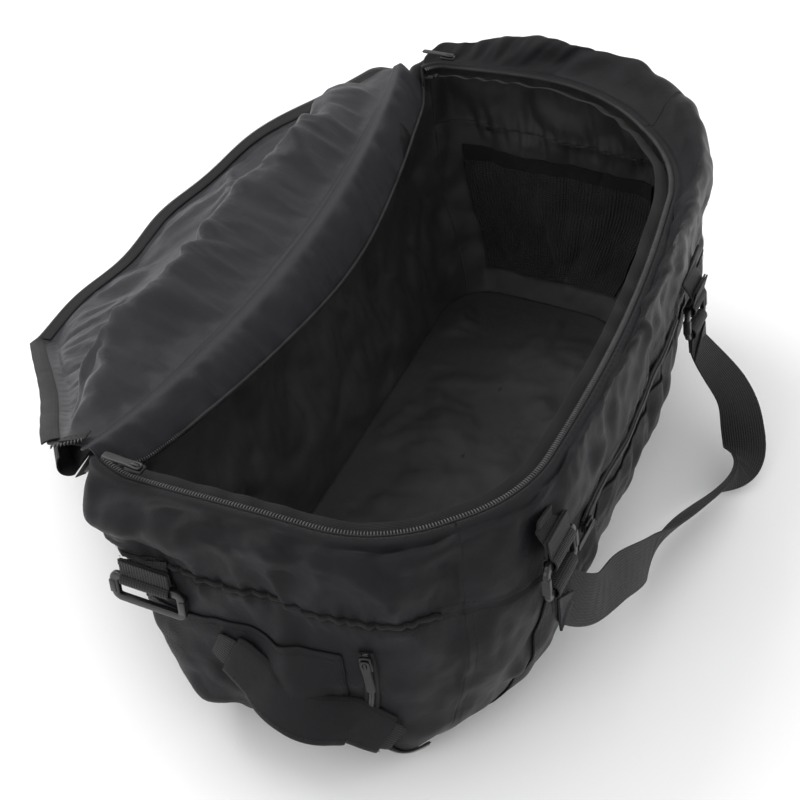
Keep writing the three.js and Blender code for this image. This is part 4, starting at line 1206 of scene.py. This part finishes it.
TAPE_INSET, TAPE_WIDE, TAPE_THICK, TAPE_LIFT = LID_INSET + 0.0085, 0.0125, 0.0009, 0.0012
ZIP_RUN = np.linspace(1.90, FOLD_END + 0.03, 420)
line, side, up = lid_strip("lid_edge_tape", ZIP_RUN, TAPE_INSET, TAPE_WIDE, TAPE_LIFT, ["lid_zip_tape"])
for row, shift in enumerate((-0.0045, 0.0045)):
    stitches(f"lid_tape_stitches_{row}", line + side * shift, up, "lid", 0.0007)
lid_strip("lid_edge_binding", ZIP_RUN, LID_INSET + 0.0030, 0.0040, 0.0002)
coil_teeth("lid_coil", lid_coil_line(ZIP_RUN), lid_up, ["lid_zip_coil"], "lid")
TAIL_RUN = np.linspace(FOLD_START - 0.03, 3.03, 60)
line, side, up = lid_strip("lid_tail_tape", TAIL_RUN, TAPE_INSET, TAPE_WIDE, TAPE_LIFT, ["lid_zip_tail"])
stitches("lid_tail_stitches", line, up, "lid", 0.0008)
coil_teeth("lid_tail_coil", lid_coil_line(TAIL_RUN), lid_up, (), "lid")

# the hinge strip: back wall's top edge, over, to the lid's cloth
count = 180
xs = np.linspace(HINGE_LOW - 0.002, HINGE_HIGH + 0.002, count)
back_s = np.linspace(2.0, 3.0, 400)[::-1]
top_s = np.interp(xs[::-1], tub(back_s, MOUTH)[:, 0], back_s)[::-1]
wall_top = tub(top_s, np.full(count, 4.95))
wall_low = tub(top_s, np.full(count, 4.80))
first = np.stack([xs / math.cos(LID_TILT), np.full(count, 0.0045), np.full(count, 0.0010)], -1)
second = first + (0, 0.006, 0)
lid_first, lid_second = lid_world(first), lid_world(second)
leave = (wall_top - wall_low) * 1.4
arrive = (lid_second - lid_first) * 2.2
rows = []
for t in np.linspace(0, 1, 9):
    h = (2 * t**3 - 3 * t**2 + 1, t**3 - 2 * t**2 + t, -2 * t**3 + 3 * t**2, t**3 - t**2)
    rows.append(wall_top * h[0] + leave * h[1] + lid_first * h[2] + arrive * h[3])
rows.append(lid_world(first + (0, 0.0045, 0)))
rows.append(lid_world(first + (0, 0.0085, 0.0001)))
strip = np.stack(rows)
ruck = 0.0016 * np.sin(xs * 290 + 4 * np.sin(xs * 47)) + 0.0016 * np.sin(xs * 131 + 2 * np.sin(xs * 71))
for row in range(2, 7):
    strip[row, :, 2] += ruck * math.sin((row - 1) * math.pi / 7)
hinge = grid_piece("hinge_strip", strip, COATED, None, 0.0012, -1.0)
_, edge_up = frames_at(strip[1], np.cross(np.gradient(strip[1], axis=0), strip[2] - strip[0]))
if edge_up[:, 2].mean() < 0:
    edge_up = -edge_up
edge_line = softened(strip[1] + edge_up * 0.0018, 9)
coil_teeth("hinge_coil", edge_line, edge_up, body="bag", width=0.0036)
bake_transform(hinge)
stitch_line = lid_world(np.stack([xs, np.full(count, 0.0100), np.full(count, 0.001)], -1))
stitches("hinge_stitches", stitch_line, np.tile(lid_up, (count, 1)), "lid", 0.0014)

# ---------------------------------------------------------------- the lid's folded corner
turned = turn(fold_along, math.pi)
axis_at = fold_from + (0, 0, -FOLD_GAP)


def corner_world(points):
    """Points drawn where they lie on the closed lid, turned under about the fold."""
    return lid_world((np.asarray(points, float) - axis_at) @ turned.T + axis_at)


corner_run = lid_edge(np.linspace(FOLD_END - 0.012, FOLD_START - 4 + 0.012, 240), CLOTH_INSET)
past_fold = -fold_side * FOLD_TRIM
corner_loop = np.concatenate([
    even_loop(corner_run, LID_PITCH),
    between(corner_run[-1], fold_from + past_fold, fold_to + past_fold, corner_run[0]),
])
points, faces = filled(corner_loop[:, :2], LID_PITCH)
points[:, 2] = 0.004 * fractal(points, 18.0, 9.0, 3) * smoothstep(np.abs(beyond_fold(points)), 0.004, 0.03)
corner = add_mesh("lid_corner_cloth", corner_world(points), faces, COATED, None, points[:, :2])
thicken(corner, 0.0010, 0)
apply_modifiers(corner)
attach(corner, "lid_corner")
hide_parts("lid_corner_panel")
CORNER_RUN = np.linspace(FOLD_END - 0.03, FOLD_START - 4 + 0.03, 260)
line = lid_edge(CORNER_RUN, TAPE_INSET)
line[:, 2] += edge_wave(line) * smoothstep(line[:, 1], 0.0, 0.02) + TAPE_LIFT
line = corner_world(line)
section = rounded_section(TAPE_WIDE, TAPE_THICK)
corner_tape = sweep("lid_corner_tape", line, *frames_at(line, -lid_up), section, BINDING, "lid_corner")
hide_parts("lid_corner_zip_tape")
coil_line = lid_edge(CORNER_RUN, LID_INSET)
coil_line[:, 2] += edge_wave(coil_line)
coil_teeth("lid_corner_coil", corner_world(coil_line), -lid_up, ["lid_corner_zip_coil"], "lid_corner")

# the cloth round the fold, from the lid's top to the corner's
fold_line = fold_from + (fold_to - fold_from) * np.linspace(0, 1, 90)[:, None]
rows = []
for angle in np.linspace(0, math.pi, 15):
    out = FOLD_GAP * math.sin(angle) * 0.55 - FOLD_TRIM * math.cos(angle) ** 2
    rows.append(fold_line - fold_side * out + (0, 0, -FOLD_GAP * (1 - math.cos(angle))))
strip = grid_piece("lid_fold", lid_world(np.stack(rows)), BINDING, None, 0.0010, -1.0)
top = lid_world(fold_middle + (0, 0, 0.0005))
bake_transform(strip)

# the tape that shows along the top of the fold
cloth_height = (lid_cloth - lid_plane) @ lid_up
tape_line = fold_from + (fold_to - fold_from) * np.linspace(0, 1.04, 90)[:, None]
rows = []
for inward in np.linspace(-0.0005, 0.0125, 7):
    line = tape_line + fold_side * inward
    apart = np.linalg.norm(lid_points[None, :, :2] - line[:, None, :2], axis=2)
    weights = np.exp(-((apart / 0.0045) ** 2)) + 1e-12
    lift = (weights @ cloth_height) / weights.sum(1)
    rows.append(lid_world(line) + lid_up * (lift + 0.0016)[:, None])
fold_tape = grid_piece("lid_fold_tape", np.stack(rows), BINDING, None, 0.0010, 0.0)
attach(fold_tape, "lid")
stitches("lid_fold_stitches", rows[5], np.tile(lid_up, (len(tape_line), 1)), "lid", 0.0014)


# ---------------------------------------------------------------- rings, tabs and handles
JOINTS = {joint["name"]: joint for joint in frame["joints"]}


def joint_at(name):
    """The joint's place in the frame."""
    return np.array(JOINTS[name]["pos_m"], float)


def joint_axis(name):
    return unit(np.array(JOINTS[name]["axis"], float))


RING_LONG, RING_HIGH, RING_BAR, RING_THICK, RING_CORNER = 0.062, 0.030, 0.007, 0.005, 0.0045
LOOP_RADIUS, WEB_WIDE, WEB_THICK = 0.0052, 0.040, 0.0018


def place(points, at, along, up, out):
    """Local points (x along the bar, y up, z out) put in place."""
    return np.asarray(at) + points @ np.stack([along, up, out])


def ring(name, at, along, up, out, body, node_name):
    """A moulded rectangular ring hanging from its upper bar at at."""
    half_x, half_y, r = (RING_LONG - RING_BAR) / 2, (RING_HIGH - RING_BAR) / 2, RING_CORNER
    path = []
    for index, (way_x, way_y) in enumerate(((1, 1), (-1, 1), (-1, -1), (1, -1))):
        for a in np.radians(90 * index + np.linspace(0, 90, 9)):
            x = way_x * (half_x - r) + r * math.cos(a)
            y = way_y * (half_y - r) + r * math.sin(a)
            path.append((x, y - RING_PITCH / 2, 0))
    path = np.array(path)
    ahead = unit(np.roll(path, -1, 0) - np.roll(path, 1, 0))
    side = np.stack([ahead[:, 1], -ahead[:, 0], np.zeros(len(path))], -1)
    section = squared_section(RING_BAR, RING_THICK, 20, 0.55, 0.55)
    points = placed_sections(path, side, np.tile(UPRIGHT, (len(path), 1)), section)
    faces = grid_faces(len(path) + 1, len(section), True) % (len(path) * len(section))
    piece = add_mesh(name, place(points.reshape(-1, 3), at, along, up, out), faces, PLASTIC, body)
    soften(piece)
    apply_modifiers(piece)
    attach(piece, body)
    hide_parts(node_name)
    # raised cheeks at both ends of the lower bar
    for end, way in (("a", -1), ("b", 1)):
        cheek = moulded_block(f"{name}_cheek_{end}", (0.0052, 0.013, 0.0066), 0.0010, PLASTIC)
        beside = place(np.array([way * (half_x + 0.0012), -RING_PITCH / 2, 0]), at, along, up, out)
        cheek.data.transform(matrix_of(beside, along, up, out))
        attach(cheek, body)


def matrix_of(at, x, y, z):
    """The matrix that puts local axes x, y and z at a place."""
    made = np.eye(4)
    made[:3] = np.stack([x, y, z, at], -1)
    return Matrix(made.tolist())


def moulded_block(name, size, radius, look, taper=1.0):
    """A block with rounded edges, narrower by taper at its +Y end."""
    bm = bmesh.new()
    bmesh.ops.create_cube(bm, size=1)
    for vertex in bm.verts:
        narrow = taper if vertex.co.y > 0 else 1.0
        vertex.co = Vector((vertex.co.x * size[0] * narrow, vertex.co.y * size[1], vertex.co.z * size[2]))
    bmesh.ops.bevel(bm, geom=bm.edges[:], offset=radius, segments=3, profile=0.5, affect="EDGES")
    mesh = bpy.data.meshes.new(name)
    bm.to_mesh(mesh)
    bm.free()
    mesh.polygons.foreach_set("use_smooth", [True] * len(mesh.polygons))
    mesh.materials.append(look)
    return linked(name, mesh)


def web_loop(name, at, along, up, out, body, tail=1):
    """Webbing turned round a bar and sewn flat beyond it, above the bar or, with tail -1, below."""
    a = np.linspace(-0.9, 0.9, 25) * math.pi
    circle = np.stack([0 * a, -tail * LOOP_RADIUS * np.cos(a), LOOP_RADIUS * np.sin(a)], -1)
    pinch = np.array([(0, tail * (LOOP_RADIUS + 0.006), 0.0012), (0, tail * (LOOP_RADIUS + 0.014), 0.0010)])
    path = spline(np.concatenate([pinch[::-1] * (1, 1, -1), circle, pinch]), 80)
    line = place(path, at, along, up, out)
    ahead = unit(np.gradient(line, axis=0))
    side = np.broadcast_to(along, line.shape)
    face = unit(np.cross(side, ahead))
    piece = sweep(name, line, side, face, rounded_section(WEB_WIDE, WEB_THICK * 0.85), WEBBING, body)
    return piece


def strap(name, stops, body):
    """A carrying strap through stops of (x, y, z, face), its edges waving a little."""
    count = 260
    line = spline(stops, count)
    at, face = line[:, :3], unit(line[:, 3:])
    ahead = unit(np.gradient(at, axis=0))
    side = unit(np.cross(ahead, face))
    up = unit(np.cross(side, ahead))
    section = rounded_section(WEB_WIDE, WEB_THICK)
    wave = 0.0009 * np.sin(np.linspace(0, 26, count))[:, None]
    bend = wave * (section[None, :, 0] / (WEB_WIDE / 2)) ** 2 * 13 * 0.08
    points = placed_sections(at, side, up, section) + up[:, None] * bend[..., None]
    across, length = np.broadcast_arrays(section[None, :, 0], travelled(at)[:, None])
    uv = np.stack([across, length], -1).reshape(-1, 2)
    piece = add_mesh(name, points.reshape(-1, 3), capped_faces(*points.shape[:2]), WEBBING, body, uv)
    return piece


def box_stitch(name, centre, along, across, normal, length, body, rows=12):
    """Rows of stitches holding a folded end of webbing."""
    width = 0.034
    lines = []
    for t in np.linspace(-0.5, 0.5, rows):
        start = centre + along * length * t - across * width / 2
        lines.append(start + across * width * np.linspace(0, 1, 12)[:, None])
    at = np.concatenate(lines)
    ahead = np.cross(np.tile(across, (len(at), 1)), normal)
    normals = np.tile(normal, (len(at), 1))
    size = (0.0024, 0.0006, 0.0005, 0.0)
    return placed_bars(name, at, ahead, normals, size, THREAD, body, sides=4, steps=2)


def folded_cloth(name, corners, puff, body):
    """A triangle of doubled cloth, its middle a little raised."""
    a, b, c = (np.asarray(corner, float) for corner in corners)
    normal = unit(np.cross(b - a, c - a))
    u, v = np.meshgrid(np.linspace(0, 1, 13), np.linspace(0, 1, 13), indexing="ij")
    points = a + (b - a) * (u * (1 - 0.96 * v))[..., None] + (c - a) * v[..., None]
    middle = smoothstep(np.minimum.reduce([u, 1 - u, v, (1 - v) * 2]), 0, 0.35)
    points = points + normal * (puff * middle + 0.0005 * np.sin(9 * u + 5 * v) * middle)[..., None]
    piece = grid_piece(name, points, NYLON, body, 0.0018, 1.0)


# where each carrying handle lies: places in millimetres and the way its face looks
HANDLE_STOPS = {
    "front": [
        (-190, -200, 124, -0.4, -1, 0.4), (-140, -210, 102, -0.4, -0.8, 0.5),
        (-90, -219, 74, -0.4, -0.8, 0.3), (-46, -224, 56, -0.3, -0.8, -0.4), (8, -234, 42, -0.3, -0.7, -0.6),
        (62, -252, 30, -0.3, -0.7, -0.4), (106, -262, 27, -0.8, -0.4, 0.5),
        (133, -254, 42, -0.8, -0.3, 0.6), (150, -236, 70, -0.5, -0.7, 0.5),
    ],
    "back": [
        (-170, 166, 100, -0.3, 1, 0.3), (-115, 178, 62, -0.2, 0.9, 0.4), (-55, 192, 34, 0, 1, 0.2),
        (20, 200, 25, 0, 1, 0), (90, 192, 34, 0, 1, 0.2), (140, 176, 66, 0.3, 0.9, 0.4),
    ],
}
for name in ("front", "back"):
    along = joint_axis(f"{name}_near_ring_tilt")
    if along[0] < 0:
        along = -along
    upper = {end: joint_at(f"{name}_{end}_ring_tilt") for end in ("near", "far")}
    up = unit(upper["near"] - joint_at(f"{name}_handle_swing"))
    if name == "back":
        along = -along
    out = unit(np.cross(along, up))
    body = f"{name}_handle"
    stops = [(*(np.array(stop[:3]) / 1000), *stop[3:]) for stop in HANDLE_STOPS[name]]
    tails = {}
    for end in ("near", "far"):
        lower = upper[end] - up * RING_PITCH
        node_name = f"{name}_{end}_ring"
        ring(f"{name}_{end}_strap_ring", upper[end], along, up, out, node_name, node_name)
        web_loop(f"{name}_{end}_handle_loop", lower, along, up, out, body, -1)
        tails[end] = [(*(lower - up * drop), *out) for drop in (0.0048, 0.018)]
        sewn = lower - up * 0.016 + out * 0.0022
        box_stitch(f"{name}_{end}_handle_stitches", sewn, up, along, out, 0.016, body)
        way = 1 if (end == "near") == (name == "front") else -1
        across, base = along * way, lower + out * 0.0026
        places = ((-0.019, 0.006), (0.020, 0.026), (-0.020, 0.034))
        first, *others = (base + across * beside - up * drop for beside, drop in places)
        folded_cloth(f"{name}_{end}_handle_fold", [first, *others[::way]], 0.0012, body)
    piece = strap(f"{name}_carrying_handle", [*tails["near"], *stops, *tails["far"][::-1]], body)
    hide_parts(f"{name}_handle")

# where the ring tabs are sewn on: station, level of the ring, level of the tab's top
TABS = {
    "front_near": (0.115, 3.12, 3.75), "front_far": (0.7, 2.5, 3.1),
    "back_near": (2.77, 2.7, 3.3), "back_far": (2.31, 2.55, 3.1),
    "near_end": (3.3, 2.5, 2.78), "far_end": (1.7, 2.5, 2.78),
}
for name, (station, level, top) in TABS.items():
    joint = f"{name}_ring_tilt" if f"{name}_ring_tilt" in JOINTS else f"{name}_ring_swing"
    at, along = joint_at(joint), joint_axis(joint)
    away = tub_normal(station, level)
    out = unit(away - along * (away @ along))
    up = unit(np.cross(out, along))
    if up[2] < 0:
        up = -up
    if name in ("near_end", "far_end"):
        hang_out = np.cross(along, UPRIGHT)
        if hang_out @ away < 0:
            along = -along
            hang_out = -hang_out
        ring(f"{name}_strap_ring", at, along, np.array(UPRIGHT), hang_out, f"{name}_ring", f"{name}_ring")
    tab = web_loop(f"{name}_ring_loop", at, along, up, out, "bag")
    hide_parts(f"{name}_ring_tab")
    t = np.linspace(0, 1, 30)[:, None]
    cloth_line, _ = tub_line((station, station), (level + 0.16, top), 0.0016, 30)
    start = at + up * (LOOP_RADIUS + 0.004)
    line = cloth_line + (start - cloth_line[0]) * (1 - smoothstep(t, 0, 0.55))
    line[0] = start
    ahead = unit(np.gradient(line, axis=0))
    side = np.tile(along, (30, 1))
    side = unit(side - ahead * np.sum(side * ahead, 1, keepdims=True))
    face = np.cross(side, ahead)
    if face[15] @ away < 0:
        face = -face
    section = rounded_section(WEB_WIDE, 0.0022)
    patch = sweep(f"{name}_ring_tab_strap", line, side, face, section, WEBBING, "bag")
    sewn = line[18] + face[18] * 0.0013
    box_stitch(f"{name}_ring_tab_stitches", sewn, ahead[18], side[18], face[18], 0.012, "bag", 4)

# ---------------------------------------------------------------- grab handles across the ends
for name, start, finish in (("near", 3.4, 3.86), ("far", 1.6, 1.14)):
    t = np.linspace(0, 1, 90)
    stations, levels = start + (finish - start) * t, 2.0 - 0.90 * t
    lift = 0.0050 + 0.011 * np.sin(math.pi * t) ** 1.1
    line = softened(tub(stations, levels, lift), 17)
    normals = unit(softened(tub_normal(stations, levels), 17))
    tip = (0.75 * np.sin(math.pi * t) ** 0.7)[:, None]
    side, up = frames_at(line, unit(normals + tip * (0, 0, 1)))
    webbing = sweep(f"{name}_grab_webbing", line, side, up, rounded_section(0.027, 0.0020), WEBBING, "bag")
    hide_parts(f"{name}_grab_handle")
    # a sleeve of cloth sewn over all but the ends
    line, side, up = line[9:82], side[9:82], up[9:82]
    section = squared_section(0.037, 0.0052, 28, 0.6, 0.8)
    sleeve = sweep(f"{name}_grab_sleeve", line, side, up, section, NYLON, "bag")
    for row, shift in enumerate((-0.0145, 0.0145)):
        stitches(f"{name}_grab_stitches_{row}", line + side * shift + up * 0.0020, up, "bag", 0.0004)

# ---------------------------------------------------------------- sliders and pullers
SLIDERS = ("front_pocket", "back_pocket", "near_pocket", "far_pocket", "mouth_near", "mouth_far")
# the tab's outline: distance from the pin, half its width
TAB_OUTLINE = (
    (0.0026, 0.0022), (0.0012, 0.0038), (-0.004, 0.0039), (-0.010, 0.0031),
    (-0.020, 0.0035), (-0.027, 0.0038), (-0.0295, 0.0026),
)


def puller_mesh(name):
    """The tab: a long rounded plate with an eye at one end, lying along -Y from the pin."""
    bm = bmesh.new()
    rows = []
    for y, half in TAB_OUTLINE:
        rows.append([bm.verts.new((x * half, y, 0)) for x in (-1, -0.45, 0.45, 1)])
    for index, (a, b) in enumerate(zip(rows, rows[1:])):
        for k in range(3):
            # the eye is the middle face left out
            if not (k == 1 and index == 1):
                bm.faces.new((a[k], b[k], b[k + 1], a[k + 1]))
    mesh = bpy.data.meshes.new(name)
    bm.to_mesh(mesh)
    bm.free()
    mesh.materials.append(PAINTED)
    obj = linked(name, mesh)
    thicken(obj, 0.0014, 0)
    soften(obj, 2)
    apply_modifiers(obj)
    obj.data.polygons.foreach_set("use_smooth", [True] * len(obj.data.polygons))
    return obj


for name in SLIDERS:
    pin = joint_at(f"{name}_pull")
    low, high = (np.array(corner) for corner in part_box(f"{name}_slider"))
    across = joint_axis(f"{name}_pull")
    puller_low, puller_high = (np.array(corner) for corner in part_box(f"{name}_puller"))
    along = unit(pin - (puller_low + puller_high) / 2)
    along = unit(along - across * (along @ across))
    up = unit(np.cross(across, along))
    if (pin - (low + high) / 2) @ up < 0:
        up, across = -up, -across
    centre = pin - along * 0.0028 - up * 0.0042
    plate = moulded_block(f"{name}_slider_plate", (0.0098, 0.0136, 0.0028), 0.0011, PAINTED, 0.82)
    plate.data.transform(matrix_of(centre + up * 0.0016, across, along, up))
    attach(plate, f"{name}_slider")
    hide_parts(f"{name}_slider")
    bridge = moulded_block(f"{name}_slider_bridge", (0.0024, 0.0076, 0.0026), 0.0008, PAINTED)
    bridge.data.transform(matrix_of(centre + up * 0.0038, across, along, up))
    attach(bridge, f"{name}_slider")
    tab = puller_mesh(f"{name}_pull_tab")
    tab.data.transform(matrix_of(pin, across, along, up))
    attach(tab, f"{name}_puller")
    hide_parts(f"{name}_puller")

# ---------------------------------------------------------------- floor and light
FLOOR_HALF, FLOOR_Z = 6, -0.0006
ways = ((-1, -1), (1, -1), (1, 1), (-1, 1))
floor_corners = [(x * FLOOR_HALF, y * FLOOR_HALF, FLOOR_Z) for x, y in ways]
floor_mesh = add_mesh("backdrop", floor_corners, [[0, 1, 2, 3]], None)
paper, tree, shader = material("pale_paper")
place_out = node(tree, "TexCoord").outputs["Object"]
color = ramp(tree, noise_node(tree, place_out, 3.0), [(0.3, 0.90), (0.7, 0.92)])
roughness = ramp(tree, noise_node(tree, place_out, 8.0), [(0.3, 0.85), (0.7, 0.9)])
tree.links.new(color, shader.inputs["Base Color"])
tree.links.new(roughness, shader.inputs["Roughness"])
tree.links.new(bump(tree, noise_node(tree, place_out, 300.0), 0.00005), shader.inputs["Normal"])
floor_mesh.data.materials.append(paper)
floor_mesh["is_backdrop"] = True


def soft_light(name, at, aim, size, power):
    lamp = linked(name, bpy.data.lights.new(name, "AREA"))
    lamp.data.shape = "RECTANGLE"
    lamp.data.size, lamp.data.size_y = size
    lamp.data.energy = power
    lamp.location = at
    lamp.rotation_mode = "QUATERNION"
    lamp.rotation_quaternion = (Vector(aim) - Vector(at)).to_track_quat("-Z", "Y")


soft_light("key", (0.3, 1.5, 1.9), (0, 0.05, 0.15), (1.3, 1.3), 27)
soft_light("fill", (-1.9, 0.6, 1.3), (0, 0, 0.15), (1.0, 1.0), 8)
soft_light("side", (0.9, -1.8, 1.1), (0, -0.1, 0.15), (1.0, 0.8), 1.2)
world = bpy.data.worlds.new("studio")
world.use_nodes = True
world.node_tree.nodes["Background"].inputs[0].default_value = (1, 1, 1, 1)
world.node_tree.nodes["Background"].inputs[1].default_value = 1.06
bpy.context.scene.world = world
bpy.context.scene.view_settings.view_transform = "Standard"

low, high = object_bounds()
